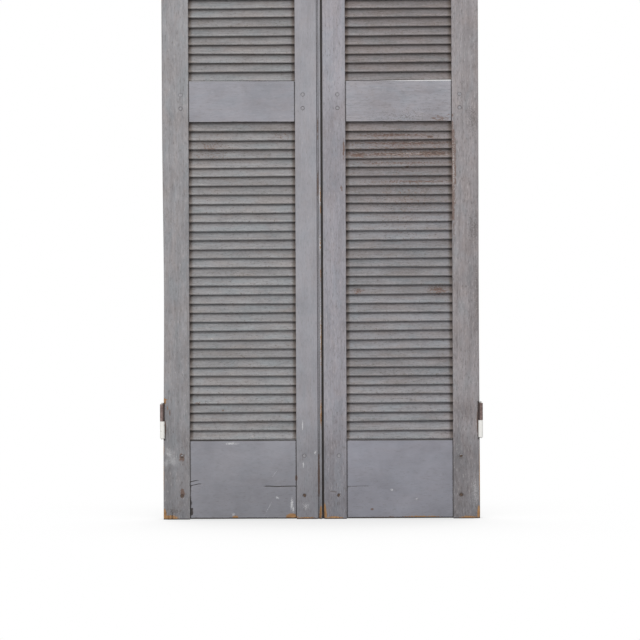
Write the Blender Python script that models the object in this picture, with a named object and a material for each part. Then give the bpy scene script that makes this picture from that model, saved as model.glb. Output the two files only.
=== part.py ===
"""A pair of arched louvred doors on loose-joint butt hinges.

The two leaves stand edge to edge, as when shut, with their fronts towards -Y and
their feet at z = 0. Each leaf is a pegged mortise and tenon frame: a hinge stile, a
meeting stile, a bottom rail, a middle rail and an arched head. The slats lie in
housings in the hinge stile and the head, and are one piece with the meeting stile,
because there are more of them than separate pieces are allowed. Each leaf turns on
the pins of two hinges, whose other halves are for fixing to a jamb.
"""

import math

import bmesh
import bpy
from mathutils import Matrix, Vector

MM = 0.001

# Leaf
DOOR_THICKNESS = 38.0 * MM
PANEL_WIDTH = 298.0 * MM
HINGE_STILE_WIDTH = 74.5 * MM
LEFT_MEETING_STILE_WIDTH = 74.5 * MM
RIGHT_MEETING_STILE_WIDTH = 66.0 * MM
BOTTOM_RAIL_HEIGHT = 222.0 * MM
MIDDLE_RAIL_HEIGHT = 114.0 * MM
SPRING_HEIGHT = 1868.0 * MM

# Meeting edges: a quirk, bead and set-back joint on the left leaf, an eased arris on the right one
MEETING_GAP = 0.4 * MM
LEADING_EDGE_BEVEL = 2.5 * MM
JOINT_WIDTH = 3.2 * MM
JOINT_DEPTH = 10.0 * MM
BEAD_WIDTH = 5.4 * MM
QUIRK_WIDTH = 6.2 * MM
QUIRK_DEPTH = 5.0 * MM
EASED_ARRIS = 2.0 * MM

# Slats
SLAT_PITCH = 25.4 * MM
LOWER_SLATS = 35
SLAT_WIDTH = 40.0 * MM
SLAT_THICKNESS = 7.0 * MM
SLAT_SLOPE = math.radians(45.0)
SLAT_NOSE_EASE = 2.2 * MM
SLAT_NOSE_RECESS = 2.5 * MM
SLAT_SILL_GAP = 1.0 * MM
SLAT_CROWN_GAP = 5.0 * MM
HOUSING_DEPTH = 8.0 * MM

# Mortise and tenon joints
TENON_THICKNESS = 12.0 * MM
TENON_LENGTH = 50.0 * MM
BOTTOM_TENON_HEIGHT = 60.0 * MM
LOWER_TENON_MARGIN = 36.0 * MM
UPPER_TENON_MARGIN = 15.0 * MM
MIDDLE_TENON_MARGIN = 12.0 * MM
SPRING_TENON_WIDTH = 42.0 * MM
SPRING_TENON_LENGTH = 56.0 * MM
CROWN_TENON_MARGIN = 13.0 * MM

# Pegs
PEG_DIAMETER = 10.0 * MM
PEG_SETBACK = 22.0 * MM
MIDDLE_PEG_MARGIN = 38.0 * MM
SPRING_PEG_MARGIN = 16.0 * MM
CROWN_PEG_MARGIN = 13.0 * MM
PEG_SIDES = 8

# Hinges
HINGE_HEIGHT = 101.6 * MM
HINGE_PLATE_WIDTH = 30.0 * MM
HINGE_PLATE_THICKNESS = 3.2 * MM
HINGE_PLATE_PROUD = 0.4 * MM
HINGE_PLATE_GAP = 3.0 * MM
BARREL_DIAMETER = 12.7 * MM
KNUCKLE_LENGTH = 47.5 * MM
KNUCKLE_GAP = 0.4 * MM
KNUCKLE_CLEARANCE = 0.8 * MM
KNUCKLE_CAP = 4.0 * MM
PIN_DIAMETER = 6.4 * MM
PIN_FORWARD = 6.6 * MM
LOWER_HINGE_HEIGHT = 275.5 * MM
UPPER_HINGE_DROP = 168.0 * MM
SCREW_HOLE_DIAMETER = 4.8 * MM
COUNTERSINK_DIAMETER = 9.0 * MM
SCREW_HOLE_SPACING = 36.0 * MM
SCREW_HOLE_STAGGER = 5.0 * MM

# Clearances
FIT = 0.3 * MM
END_GAP = 0.5 * MM
CUT_MARGIN = 2.0 * MM
MERGE_DISTANCE = 0.001 * MM

# Colours
PAINT_COLOUR = (0.30, 0.29, 0.31)
PAINT_ROUGHNESS = 0.6
PEG_COLOUR = (0.24, 0.19, 0.15)
PEG_ROUGHNESS = 0.7
IRON_COLOUR = (0.11, 0.06, 0.04)
IRON_ROUGHNESS = 0.75
IRON_METALLIC = 0.4

# Facets
ARC_STEPS = 18
CROWN_STEPS = 8
BEAD_STEPS = 4
BARREL_SIDES = 12
SCREW_HOLE_SIDES = 6

# Worked out from the sizes above
PAIR_WIDTH = (
    2 * (HINGE_STILE_WIDTH + PANEL_WIDTH)
    + LEFT_MEETING_STILE_WIDTH
    + RIGHT_MEETING_STILE_WIDTH
    + MEETING_GAP
)
ARCH_RADIUS = PAIR_WIDTH / 2
OPENING_RADIUS = ARCH_RADIUS - HINGE_STILE_WIDTH
PANEL_INNER = OPENING_RADIUS - PANEL_WIDTH
BARREL_RADIUS = BARREL_DIAMETER / 2
PIN_RADIUS = PIN_DIAMETER / 2
FRONT_Y = (PIN_FORWARD + BARREL_RADIUS - DOOR_THICKNESS) / 2
BACK_Y = FRONT_Y + DOOR_THICKNESS
TENON_FRONT_Y = (FRONT_Y + BACK_Y - TENON_THICKNESS) / 2
TENON_BACK_Y = TENON_FRONT_Y + TENON_THICKNESS
PIN_Y = FRONT_Y - PIN_FORWARD
MIDDLE_RAIL_BASE = BOTTOM_RAIL_HEIGHT + SLAT_SILL_GAP + LOWER_SLATS * SLAT_PITCH
MIDDLE_RAIL_TOP = MIDDLE_RAIL_BASE + MIDDLE_RAIL_HEIGHT
HINGE_HEIGHTS = {"lower": LOWER_HINGE_HEIGHT, "upper": SPRING_HEIGHT - UPPER_HINGE_DROP}


class Leaf:
    """One door leaf: its side, -1 on the left and 1 on the right, and where its pieces begin."""

    def __init__(self, name, side, meeting_stile_width):
        self.name = name
        self.side = side
        self.hinge_edge = side * ARCH_RADIUS
        self.panel_outer = side * OPENING_RADIUS
        self.panel_inner = side * PANEL_INNER
        self.meeting_edge = self.panel_inner - side * meeting_stile_width
        self.plate_back = self.hinge_edge - side * (HINGE_PLATE_THICKNESS - HINGE_PLATE_PROUD)
        self.plate_face = self.hinge_edge + side * HINGE_PLATE_PROUD
        self.pin_x = self.plate_face + side * HINGE_PLATE_GAP / 2
        self.jamb_face = self.plate_face + side * HINGE_PLATE_GAP
        self.jamb_back = self.jamb_face + side * HINGE_PLATE_THICKNESS


LEAVES = (
    Leaf("left", -1, LEFT_MEETING_STILE_WIDTH),
    Leaf("right", 1, RIGHT_MEETING_STILE_WIDTH),
)


# Scene, materials and objects


def clear_scene():
    for obj in list(bpy.data.objects):
        bpy.data.objects.remove(obj, do_unlink=True)


def new_collection(name):
    collection = bpy.data.collections.new(name)
    bpy.context.scene.collection.children.link(collection)
    return collection


def new_material(name, colour, roughness, metallic=0.0):
    material = bpy.data.materials.new(name)
    material.use_nodes = True
    shader = material.node_tree.nodes["Principled BSDF"]
    shader.inputs["Base Color"].default_value = (*colour, 1.0)
    shader.inputs["Roughness"].default_value = roughness
    shader.inputs["Metallic"].default_value = metallic
    return material


def new_empty(name, location):
    empty = bpy.data.objects.new(name, None)
    empty.location = location
    PARTS.objects.link(empty)
    return empty


def to_mesh(name, shape):
    bmesh.ops.recalc_face_normals(shape, faces=shape.faces)
    mesh = bpy.data.meshes.new(name)
    shape.to_mesh(mesh)
    shape.free()
    return mesh


def new_part(name, shape, material, origin, parent=None):
    """A named piece from a shape in world space, with its origin moved to a point of its own."""
    shape.transform(Matrix.Translation(-Vector(origin)))
    mesh = to_mesh(name, shape)
    mesh.materials.append(material)
    return place_part(name, mesh, origin, parent)


def place_part(name, mesh, origin, parent=None):
    part = bpy.data.objects.new(name, mesh)
    part.location = Vector(origin)
    if parent:
        part.parent = parent
        part.location -= parent.location
    PARTS.objects.link(part)
    return part


def new_tool(name, shape):
    """A cutter, or a shape to be joined on, in world space."""
    tool = bpy.data.objects.new(name, to_mesh(name, shape))
    tool.hide_render = True
    tool.display_type = "WIRE"
    TOOLS.objects.link(tool)
    return tool


def apply_tool(part, tool, operation, solver="EXACT"):
    modifier = part.modifiers.new(tool.name, "BOOLEAN")
    modifier.operation = operation
    modifier.object = tool
    modifier.solver = solver


def cut(part, tool):
    apply_tool(part, tool, "DIFFERENCE")


def cut_housings(part, tool):
    """The exact solver can lose a wall of these many slanted holes, so they are cut by the manifold one."""
    apply_tool(part, tool, "DIFFERENCE", "MANIFOLD")


def join(part, tool):
    apply_tool(part, tool, "UNION")


# Shapes


def add_box(shape, x_pair, y_pair, z_pair):
    """A box between two values on each axis, given in either order."""
    pairs = (x_pair, y_pair, z_pair)
    centre = Vector([(a + b) / 2 for a, b in pairs])
    size = [abs(b - a) for a, b in pairs]
    matrix = Matrix.Translation(centre) @ Matrix.Diagonal((*size, 1.0))
    bmesh.ops.create_cube(shape, size=1.0, matrix=matrix)


def add_rod(shape, start, end, start_radius, end_radius, sides):
    """A round bar, or a cone cut short, between two points."""
    start, end = Vector(start), Vector(end)
    run = end - start
    matrix = Matrix.Translation((start + end) / 2) @ run.to_track_quat("Z", "Y").to_matrix().to_4x4()
    bmesh.ops.create_cone(
        shape,
        cap_ends=True,
        segments=sides,
        radius1=start_radius,
        radius2=end_radius,
        depth=run.length,
        matrix=matrix,
    )


def outline_shape(points, thickness):
    """A flat outline in the XY plane, thickened half each way along Z."""
    curve = bpy.data.curves.new("outline", "CURVE")
    curve.dimensions = "2D"
    curve.fill_mode = "BOTH"
    curve.extrude = thickness / 2
    spline = curve.splines.new("POLY")
    spline.points.add(len(points) - 1)
    for point, (x, y) in zip(spline.points, points):
        point.co = (x, y, 0.0, 1.0)
    spline.use_cyclic_u = True
    holder = bpy.data.objects.new("outline", curve)
    bpy.context.scene.collection.objects.link(holder)
    graph = bpy.context.evaluated_depsgraph_get()
    mesh = bpy.data.meshes.new_from_object(holder.evaluated_get(graph))
    bpy.data.objects.remove(holder, do_unlink=True)
    shape = bmesh.new()
    shape.from_mesh(mesh)
    bpy.data.meshes.remove(mesh)
    bmesh.ops.remove_doubles(shape, verts=shape.verts, dist=MERGE_DISTANCE)
    return shape


def upright_outline(points, thickness, centre_y):
    """A flat outline in the XZ plane, thickened along Y."""
    shape = outline_shape(points, thickness)
    turn = Matrix.Translation((0.0, centre_y, 0.0)) @ Matrix.Rotation(math.pi / 2, 4, "X")
    shape.transform(turn)
    return shape


def arc(radius, start, end, steps):
    """Points (x, z) on an arc about the arch's centre, from one angle to another."""
    angles = [start + (end - start) * step / steps for step in range(steps + 1)]
    return [(radius * math.cos(a), SPRING_HEIGHT + radius * math.sin(a)) for a in angles]


def arch_height(radius, x):
    """The height of the arc of this radius above a place across the pair."""
    return SPRING_HEIGHT + math.sqrt(radius**2 - x**2)


def reach_at(radius, z):
    """How far an edge that runs up straight and then along the arch lies from the middle of the pair."""
    rise = max(z - SPRING_HEIGHT, 0.0)
    return math.sqrt(radius**2 - rise**2)


# Slats


def slat_profile(grow):
    """The slat's section as (y, z) from its middle: an eased nose at the front, square at the back."""
    half_width = SLAT_WIDTH / 2 + grow
    half_thickness = SLAT_THICKNESS / 2 + grow
    flat = (
        (half_width, -half_thickness),
        (half_width, half_thickness),
        (SLAT_NOSE_EASE - half_width, half_thickness),
        (-half_width, half_thickness - SLAT_NOSE_EASE),
        (-half_width, SLAT_NOSE_EASE - half_thickness),
        (SLAT_NOSE_EASE - half_width, -half_thickness),
    )
    cosine, sine = math.cos(SLAT_SLOPE), math.sin(SLAT_SLOPE)
    return [(u * cosine - v * sine, u * sine + v * cosine) for u, v in flat]


SLAT_LOWEST = min(z for _, z in slat_profile(0.0))
SLAT_HIGHEST = max(z for _, z in slat_profile(0.0))
SLAT_FOREMOST = min(y for y, _ in slat_profile(0.0))
SLAT_MIDDLE_Y = FRONT_Y + SLAT_NOSE_RECESS - SLAT_FOREMOST


def slat_heights():
    """The height of each slat's middle, up the lower panel and then up the arched one."""
    first = BOTTOM_RAIL_HEIGHT + SLAT_SILL_GAP - SLAT_LOWEST
    heights = [first + SLAT_PITCH * row for row in range(LOWER_SLATS)]
    height = MIDDLE_RAIL_TOP + SLAT_SILL_GAP - SLAT_LOWEST
    highest = arch_height(OPENING_RADIUS, PANEL_INNER) - SLAT_CROWN_GAP - SLAT_HIGHEST
    while height <= highest:
        heights.append(height)
        height += SLAT_PITCH
    return heights


def add_slat(shape, leaf, height, root, grow, reach):
    """A slat from a root beside the meeting stile to its outer end, which lies at reach(z) along its edges."""
    section = [(SLAT_MIDDLE_Y + y, height + z) for y, z in slat_profile(grow)]
    ring = [shape.verts.new((root, y, z)) for y, z in section]
    face = shape.faces.new(ring)
    run = bmesh.ops.extrude_face_region(shape, geom=[face], use_keep_orig=True)
    for item in run["geom"]:
        if isinstance(item, bmesh.types.BMVert):
            item.co.x = leaf.side * reach(item.co.z)
    end_faces = [item for item in run["geom"] if isinstance(item, bmesh.types.BMFace)]
    bmesh.ops.triangulate(shape, faces=end_faces)


def slat_bank(leaf):
    shape = bmesh.new()
    root = leaf.panel_inner - leaf.side * HOUSING_DEPTH
    for height in slat_heights():
        add_slat(shape, leaf, height, root, 0.0, scribed_end)
    return new_tool(f"{leaf.name}_slats", shape)


def scribed_end(z):
    """How far the slats reach into the hinge stile, and above it into the arched head."""
    return reach_at(OPENING_RADIUS + HOUSING_DEPTH, z)


def head_housing_end(z):
    return reach_at(OPENING_RADIUS + HOUSING_DEPTH + END_GAP, z)


def stile_housing_end(_):
    return OPENING_RADIUS + HOUSING_DEPTH + END_GAP


def slat_housings(leaf, name, heights, reach):
    shape = bmesh.new()
    root = leaf.panel_inner + leaf.side * FIT
    for height in heights:
        add_slat(shape, leaf, height, root, FIT, reach)
    return new_tool(f"{leaf.name}_{name}_housings", shape)


# Joints between the members of a leaf


def rail_tenon_spans():
    """The low and high edge of each rail tenon, named by its rail."""
    underside_rise = (TENON_BACK_Y - FRONT_Y) * math.tan(SLAT_SLOPE)
    upper = BOTTOM_RAIL_HEIGHT - UPPER_TENON_MARGIN
    return {
        "bottom_rail": (
            (LOWER_TENON_MARGIN, LOWER_TENON_MARGIN + BOTTOM_TENON_HEIGHT),
            (upper - BOTTOM_TENON_HEIGHT, upper),
        ),
        "middle_rail": (
            (MIDDLE_RAIL_BASE + underside_rise + FIT, MIDDLE_RAIL_TOP - MIDDLE_TENON_MARGIN),
        ),
    }


def crown_tenon_span():
    low = arch_height(OPENING_RADIUS, PANEL_INNER) + CROWN_TENON_MARGIN
    return low, arch_height(ARCH_RADIUS, PANEL_INNER) - CROWN_TENON_MARGIN


def add_mortise(shape, x_pair, z_pair):
    """The hole for a tenon, grown by the fit at its cheeks and edges."""
    y_pair = (TENON_FRONT_Y - FIT, TENON_BACK_Y + FIT)
    add_box(shape, x_pair, y_pair, (z_pair[0] - FIT, z_pair[1] + FIT))


def hinge_stile_mortises(leaf):
    shape = bmesh.new()
    mouth = leaf.panel_outer - leaf.side * FIT / 2
    end = leaf.panel_outer + leaf.side * (TENON_LENGTH + END_GAP)
    for spans in rail_tenon_spans().values():
        for span in spans:
            add_mortise(shape, (mouth, end), span)
    return new_tool(f"{leaf.name}_hinge_stile_mortises", shape)


def meeting_stile_mortises(leaf):
    shape = bmesh.new()
    mouth = leaf.panel_inner + leaf.side * FIT / 2
    end = leaf.panel_inner - leaf.side * (TENON_LENGTH + END_GAP)
    for spans in (*rail_tenon_spans().values(), (crown_tenon_span(),)):
        for span in spans:
            add_mortise(shape, (mouth, end), span)
    return new_tool(f"{leaf.name}_meeting_stile_mortises", shape)


def spring_tenon_sides(leaf):
    middle = (leaf.hinge_edge + leaf.panel_outer) / 2
    return middle - SPRING_TENON_WIDTH / 2, middle + SPRING_TENON_WIDTH / 2


def head_mortise(leaf):
    """The hole in the foot of the arched head for the tenon on top of the hinge stile."""
    shape = bmesh.new()
    low_x, high_x = spring_tenon_sides(leaf)
    top = SPRING_HEIGHT + SPRING_TENON_LENGTH + END_GAP
    y_pair = (TENON_FRONT_Y - FIT, TENON_BACK_Y + FIT)
    add_box(shape, (low_x - FIT, high_x + FIT), y_pair, (SPRING_HEIGHT - FIT / 2, top))
    return new_tool(f"{leaf.name}_head_mortise", shape)


def peg_places(leaf):
    """The middle of each peg as (x, z), by its name."""
    outer = leaf.panel_outer + leaf.side * PEG_SETBACK
    inner = leaf.panel_inner - leaf.side * PEG_SETBACK
    lower, upper = rail_tenon_spans()["bottom_rail"]
    crown_low, crown_high = crown_tenon_span()
    stile_middle = (leaf.hinge_edge + leaf.panel_outer) / 2
    rows = {
        "bottom_rail_lower": sum(lower) / 2,
        "bottom_rail_upper": sum(upper) / 2,
        "middle_rail_lower": MIDDLE_RAIL_BASE + MIDDLE_PEG_MARGIN,
        "middle_rail_upper": MIDDLE_RAIL_TOP - MIDDLE_PEG_MARGIN,
    }
    places = {}
    for row, z in rows.items():
        places[f"{row}_hinge_peg"] = (outer, z)
        places[f"{row}_meeting_peg"] = (inner, z)
    places["spring_lower_peg"] = (stile_middle, SPRING_HEIGHT + SPRING_PEG_MARGIN)
    places["spring_upper_peg"] = (stile_middle, SPRING_HEIGHT + SPRING_TENON_LENGTH - SPRING_PEG_MARGIN)
    places["crown_lower_peg"] = (inner, crown_low + CROWN_PEG_MARGIN)
    places["crown_upper_peg"] = (inner, crown_high - CROWN_PEG_MARGIN)
    return places


def peg_holes(leaf):
    shape = bmesh.new()
    radius = PEG_DIAMETER / 2 + FIT
    for x, z in peg_places(leaf).values():
        start, end = (x, FRONT_Y - CUT_MARGIN, z), (x, BACK_Y + CUT_MARGIN, z)
        add_rod(shape, start, end, radius, radius, PEG_SIDES)
    return new_tool(f"{leaf.name}_peg_holes", shape)


# Members of a leaf


def make_hinge_stile(leaf, holes):
    shape = bmesh.new()
    add_box(shape, (leaf.hinge_edge, leaf.panel_outer), (FRONT_Y, BACK_Y), (0.0, SPRING_HEIGHT - FIT))
    origin = ((leaf.hinge_edge + leaf.panel_outer) / 2, FRONT_Y, 0.0)
    stile = new_part(f"{leaf.name}_hinge_stile", shape, PAINT, origin, leaf.swing)
    tenon = bmesh.new()
    foot = SPRING_HEIGHT - SPRING_TENON_LENGTH
    top = SPRING_HEIGHT + SPRING_TENON_LENGTH
    add_box(tenon, spring_tenon_sides(leaf), (TENON_FRONT_Y, TENON_BACK_Y), (foot, top))
    join(stile, new_tool(f"{leaf.name}_spring_tenon", tenon))
    below_spring = [z for z in slat_heights() if z + SLAT_LOWEST - FIT < SPRING_HEIGHT]
    cut_housings(stile, slat_housings(leaf, "hinge_stile", below_spring, stile_housing_end))
    cut(stile, hinge_stile_mortises(leaf))
    cut(stile, hinge_gains(leaf))
    cut(stile, holes)


def bead_profile(edge, side):
    """The left meeting edge from the front face round to the back: quirk, bead, joint and bevel."""
    radius = BEAD_WIDTH / 2
    bead_outer = edge + side * JOINT_WIDTH
    bead_middle = bead_outer + side * radius
    quirk_outer = bead_outer + side * BEAD_WIDTH
    quirk_inner = quirk_outer + side * QUIRK_WIDTH
    quirk_floor = FRONT_Y + QUIRK_DEPTH
    joint_floor = FRONT_Y + JOINT_DEPTH
    points = [(quirk_inner, FRONT_Y), (quirk_inner, quirk_floor), (quirk_outer, quirk_floor)]
    for step in range(BEAD_STEPS + 1):
        angle = math.pi * step / BEAD_STEPS
        x = bead_middle + side * radius * math.cos(angle)
        points.append((x, FRONT_Y + radius - radius * math.sin(angle)))
    points.append((bead_outer, joint_floor))
    points.append((edge, joint_floor))
    points.append((edge + side * LEADING_EDGE_BEVEL, BACK_Y))
    return points


def eased_profile(edge, side):
    """The right meeting edge from the front face round to the back: eased arris and leading edge bevel."""
    middle_x = edge + side * EASED_ARRIS
    middle_y = FRONT_Y + EASED_ARRIS
    points = []
    for step in range(BEAD_STEPS + 1):
        angle = math.pi / 2 * step / BEAD_STEPS
        x = middle_x - side * EASED_ARRIS * math.sin(angle)
        points.append((x, middle_y - EASED_ARRIS * math.cos(angle)))
    points.append((edge, FRONT_Y + JOINT_DEPTH))
    points.append((edge + side * LEADING_EDGE_BEVEL, BACK_Y))
    return points


def above_arch():
    """What is planed off the tops of the meeting stiles to carry the arch's outer curve across."""
    reach = PANEL_INNER + CUT_MARGIN
    start = math.acos(reach / ARCH_RADIUS)
    curve = arc(ARCH_RADIUS, math.pi - start, start, CROWN_STEPS)
    top = SPRING_HEIGHT + ARCH_RADIUS + 2 * CUT_MARGIN
    shape = upright_outline(
        [*curve, (reach, top), (-reach, top)],
        DOOR_THICKNESS + 2 * CUT_MARGIN,
        (FRONT_Y + BACK_Y) / 2,
    )
    return new_tool("above_arch", shape)


def make_meeting_stile(leaf, holes, trim):
    edge_profile = bead_profile if leaf.name == "left" else eased_profile
    edge = edge_profile(leaf.meeting_edge, leaf.side)
    plan = [(leaf.panel_inner, FRONT_Y), *edge, (leaf.panel_inner, BACK_Y)]
    height = SPRING_HEIGHT + ARCH_RADIUS + CUT_MARGIN
    shape = outline_shape(plan, height)
    shape.transform(Matrix.Translation((0.0, 0.0, height / 2)))
    origin = (leaf.panel_inner, FRONT_Y, 0.0)
    stile = new_part(f"{leaf.name}_meeting_stile", shape, PAINT, origin, leaf.swing)
    cut(stile, trim)
    cut(stile, meeting_stile_mortises(leaf))
    cut(stile, holes)
    join(stile, slat_bank(leaf))


def rail_span(leaf):
    """The two shoulders of a rail, which stand just clear of the stiles."""
    return leaf.panel_outer - leaf.side * FIT, leaf.panel_inner + leaf.side * FIT


def add_rail_tenons(leaf, rail, spans, holes):
    """Bars through the rail that leave a tenon standing at each end."""
    tenons = bmesh.new()
    ends = (leaf.panel_outer + leaf.side * TENON_LENGTH, leaf.panel_inner - leaf.side * TENON_LENGTH)
    for span in spans:
        add_box(tenons, ends, (TENON_FRONT_Y, TENON_BACK_Y), span)
    join(rail, new_tool(f"{rail.name}_tenons", tenons))
    cut(rail, holes)


def make_bottom_rail(leaf, holes):
    shape = bmesh.new()
    add_box(shape, rail_span(leaf), (FRONT_Y, BACK_Y), (0.0, BOTTOM_RAIL_HEIGHT))
    origin = (leaf.panel_inner, FRONT_Y, 0.0)
    rail = new_part(f"{leaf.name}_bottom_rail", shape, PAINT, origin, leaf.swing)
    add_rail_tenons(leaf, rail, rail_tenon_spans()["bottom_rail"], holes)


def make_middle_rail(leaf, holes):
    """Its underside slopes up to the back, so that the slat below it can run on behind."""
    slope_rise = DOOR_THICKNESS * math.tan(SLAT_SLOPE)
    section = [
        (FRONT_Y, MIDDLE_RAIL_BASE),
        (BACK_Y, MIDDLE_RAIL_BASE + slope_rise),
        (BACK_Y, MIDDLE_RAIL_TOP),
        (FRONT_Y, MIDDLE_RAIL_TOP),
    ]
    outer, inner = rail_span(leaf)
    shape = outline_shape(section, abs(outer - inner))
    stand = Matrix(((0, 0, 1, (outer + inner) / 2), (1, 0, 0, 0), (0, 1, 0, 0), (0, 0, 0, 1)))
    shape.transform(stand)
    origin = (leaf.panel_inner, FRONT_Y, MIDDLE_RAIL_BASE)
    rail = new_part(f"{leaf.name}_middle_rail", shape, PAINT, origin, leaf.swing)
    add_rail_tenons(leaf, rail, rail_tenon_spans()["middle_rail"], holes)


def make_arched_head(leaf, holes):
    shoulder = PANEL_INNER + FIT
    outer = arc(ARCH_RADIUS, 0.0, math.acos(shoulder / ARCH_RADIUS), ARC_STEPS)
    inner = arc(OPENING_RADIUS, math.acos(shoulder / OPENING_RADIUS), 0.0, ARC_STEPS)
    outline = [(leaf.side * x, z) for x, z in (*outer, *inner)]
    shape = upright_outline(outline, DOOR_THICKNESS, (FRONT_Y + BACK_Y) / 2)
    origin = (leaf.hinge_edge, FRONT_Y, SPRING_HEIGHT)
    head = new_part(f"{leaf.name}_arched_head", shape, PAINT, origin, leaf.swing)
    tenon = bmesh.new()
    ends = (leaf.panel_inner - leaf.side * TENON_LENGTH, leaf.panel_inner + leaf.side * TENON_LENGTH)
    add_box(tenon, ends, (TENON_FRONT_Y, TENON_BACK_Y), crown_tenon_span())
    join(head, new_tool(f"{leaf.name}_crown_tenon", tenon))
    cut(head, head_mortise(leaf))
    cut(head, holes)
    above_spring = [z for z in slat_heights() if z + SLAT_HIGHEST + FIT > SPRING_HEIGHT]
    cut_housings(head, slat_housings(leaf, "head", above_spring, head_housing_end))


def make_pegs(leaf):
    """Eight-sided pegs, one shape for them all, flush with both faces."""
    shape = bmesh.new()
    radius = PEG_DIAMETER / 2
    add_rod(shape, (0.0, 0.0, 0.0), (0.0, DOOR_THICKNESS, 0.0), radius, radius, PEG_SIDES)
    mesh = to_mesh(f"{leaf.name}_peg", shape)
    mesh.materials.append(PEG_WOOD)
    for name, (x, z) in peg_places(leaf).items():
        place_part(f"{leaf.name}_{name}", mesh, (x, FRONT_Y, z), leaf.swing)


# Hinges


def plate_front_y():
    """Where a hinge plate begins beside the other half's knuckle."""
    return PIN_Y + BARREL_RADIUS + KNUCKLE_CLEARANCE


def hinge_gains(leaf):
    """The shallow recesses in the hinge stile's edge for the hinge plates."""
    shape = bmesh.new()
    x_pair = (leaf.plate_back - leaf.side * FIT, leaf.hinge_edge + leaf.side * CUT_MARGIN)
    y_pair = (FRONT_Y - CUT_MARGIN, plate_front_y() + HINGE_PLATE_WIDTH + FIT)
    for height in HINGE_HEIGHTS.values():
        half = HINGE_HEIGHT / 2 + FIT
        add_box(shape, x_pair, y_pair, (height - half, height + half))
    return new_tool(f"{leaf.name}_hinge_gains", shape)


def add_plate(shape, x_pair, height):
    front = plate_front_y()
    half = HINGE_HEIGHT / 2
    add_box(shape, x_pair, (front, front + HINGE_PLATE_WIDTH), (height - half, height + half))


def add_round(shape, leaf, z_pair, radius):
    """A round bar about a leaf's pin axis."""
    start, end = ((leaf.pin_x, PIN_Y, z) for z in z_pair)
    add_rod(shape, start, end, radius, radius, BARREL_SIDES)


def make_hinge_half(name, leaf, height, plate_sides, knuckle_span, bore_top, parent=None):
    """A plate with a neck and a bored knuckle; the screws' heads lie in the first of its sides."""
    plate = bmesh.new()
    add_plate(plate, plate_sides, height)
    half = new_part(name, plate, IRON, (leaf.pin_x, PIN_Y, height), parent)
    neck = bmesh.new()
    add_box(neck, plate_sides, (PIN_Y, plate_front_y() + CUT_MARGIN), knuckle_span)
    join(half, new_tool(f"{name}_neck", neck))
    knuckle = bmesh.new()
    add_round(knuckle, leaf, knuckle_span, BARREL_RADIUS)
    join(half, new_tool(f"{name}_knuckle", knuckle))
    bore = bmesh.new()
    bore_radius = (PIN_RADIUS + FIT) / math.cos(math.pi / BARREL_SIDES)
    add_round(bore, leaf, (knuckle_span[0] - CUT_MARGIN, bore_top), bore_radius)
    cut(half, new_tool(f"{name}_bore", bore))
    cut(half, screw_holes(name, height, *plate_sides))


def screw_places(height):
    """The middles of a plate's three screws as (y, z), the middle one set back from the others."""
    middle = plate_front_y() + HINGE_PLATE_WIDTH / 2
    places = [(middle + SCREW_HOLE_STAGGER, height)]
    for rise in (-SCREW_HOLE_SPACING, SCREW_HOLE_SPACING):
        places.append((middle - SCREW_HOLE_STAGGER, height + rise))
    return places


def screw_holes(name, height, face, back):
    """Countersunk holes, running a little past both faces of the plate along the same cone."""
    shape = bmesh.new()
    thickness = abs(face - back)
    outward = (face - back) / thickness
    growth = (COUNTERSINK_DIAMETER - SCREW_HOLE_DIAMETER) / 2 / thickness
    margin = HINGE_PLATE_GAP / 4
    for y, z in screw_places(height):
        start = (face + outward * margin, y, z)
        end = (back - outward * margin, y, z)
        start_radius = COUNTERSINK_DIAMETER / 2 + growth * margin
        end_radius = SCREW_HOLE_DIAMETER / 2 - growth * margin
        add_rod(shape, start, end, start_radius, end_radius, SCREW_HOLE_SIDES)
    return new_tool(f"{name}_screw_holes", shape)


def make_pin(name, leaf, z_pair):
    shape = bmesh.new()
    add_round(shape, leaf, z_pair, PIN_RADIUS)
    new_part(name, shape, IRON, (leaf.pin_x, PIN_Y, z_pair[0]))


def make_hinges(leaf):
    """The jamb half's knuckle carries a pin, which stands up into the capped knuckle of the door half."""
    door_sides = (leaf.plate_face, leaf.plate_back)
    jamb_sides = (leaf.jamb_face, leaf.jamb_back)
    for row, height in HINGE_HEIGHTS.items():
        name = f"{leaf.name}_{row}_hinge"
        low, high = height - KNUCKLE_GAP / 2, height + KNUCKLE_GAP / 2
        foot, top = low - KNUCKLE_LENGTH, high + KNUCKLE_LENGTH
        pin_top = top - KNUCKLE_CAP
        door_bore_top = pin_top + END_GAP
        make_hinge_half(f"{name}_door_half", leaf, height, door_sides, (high, top), door_bore_top, leaf.swing)
        make_hinge_half(f"{name}_jamb_half", leaf, height, jamb_sides, (foot, low), low + CUT_MARGIN)
        make_pin(f"{name}_pin", leaf, (foot, pin_top))


def main():
    trim = above_arch()
    for leaf in LEAVES:
        leaf.swing = new_empty(f"{leaf.name}_swing", (leaf.pin_x, PIN_Y, 0.0))
        holes = peg_holes(leaf)
        make_hinge_stile(leaf, holes)
        make_meeting_stile(leaf, holes, trim)
        make_bottom_rail(leaf, holes)
        make_middle_rail(leaf, holes)
        make_arched_head(leaf, holes)
        make_pegs(leaf)
        make_hinges(leaf)


clear_scene()
PARTS = new_collection("arched_louvred_doors")
TOOLS = new_collection("cutters")
TOOLS.hide_render = True
PAINT = new_material("painted_wood", PAINT_COLOUR, PAINT_ROUGHNESS)
PEG_WOOD = new_material("peg_wood", PEG_COLOUR, PEG_ROUGHNESS)
IRON = new_material("rusted_iron", IRON_COLOUR, IRON_ROUGHNESS, IRON_METALLIC)
main()
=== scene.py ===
"""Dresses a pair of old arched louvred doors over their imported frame.

The boards are swept along their grain with worn arrises, cracks, chips and dishes round the pegs.
Trees of geometry nodes make the slats, the pegs and the hinge screws. Each operator
makes one group of like pieces, in the place that the frame gives it.
"""

import itertools
import math
from collections import namedtuple

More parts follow.
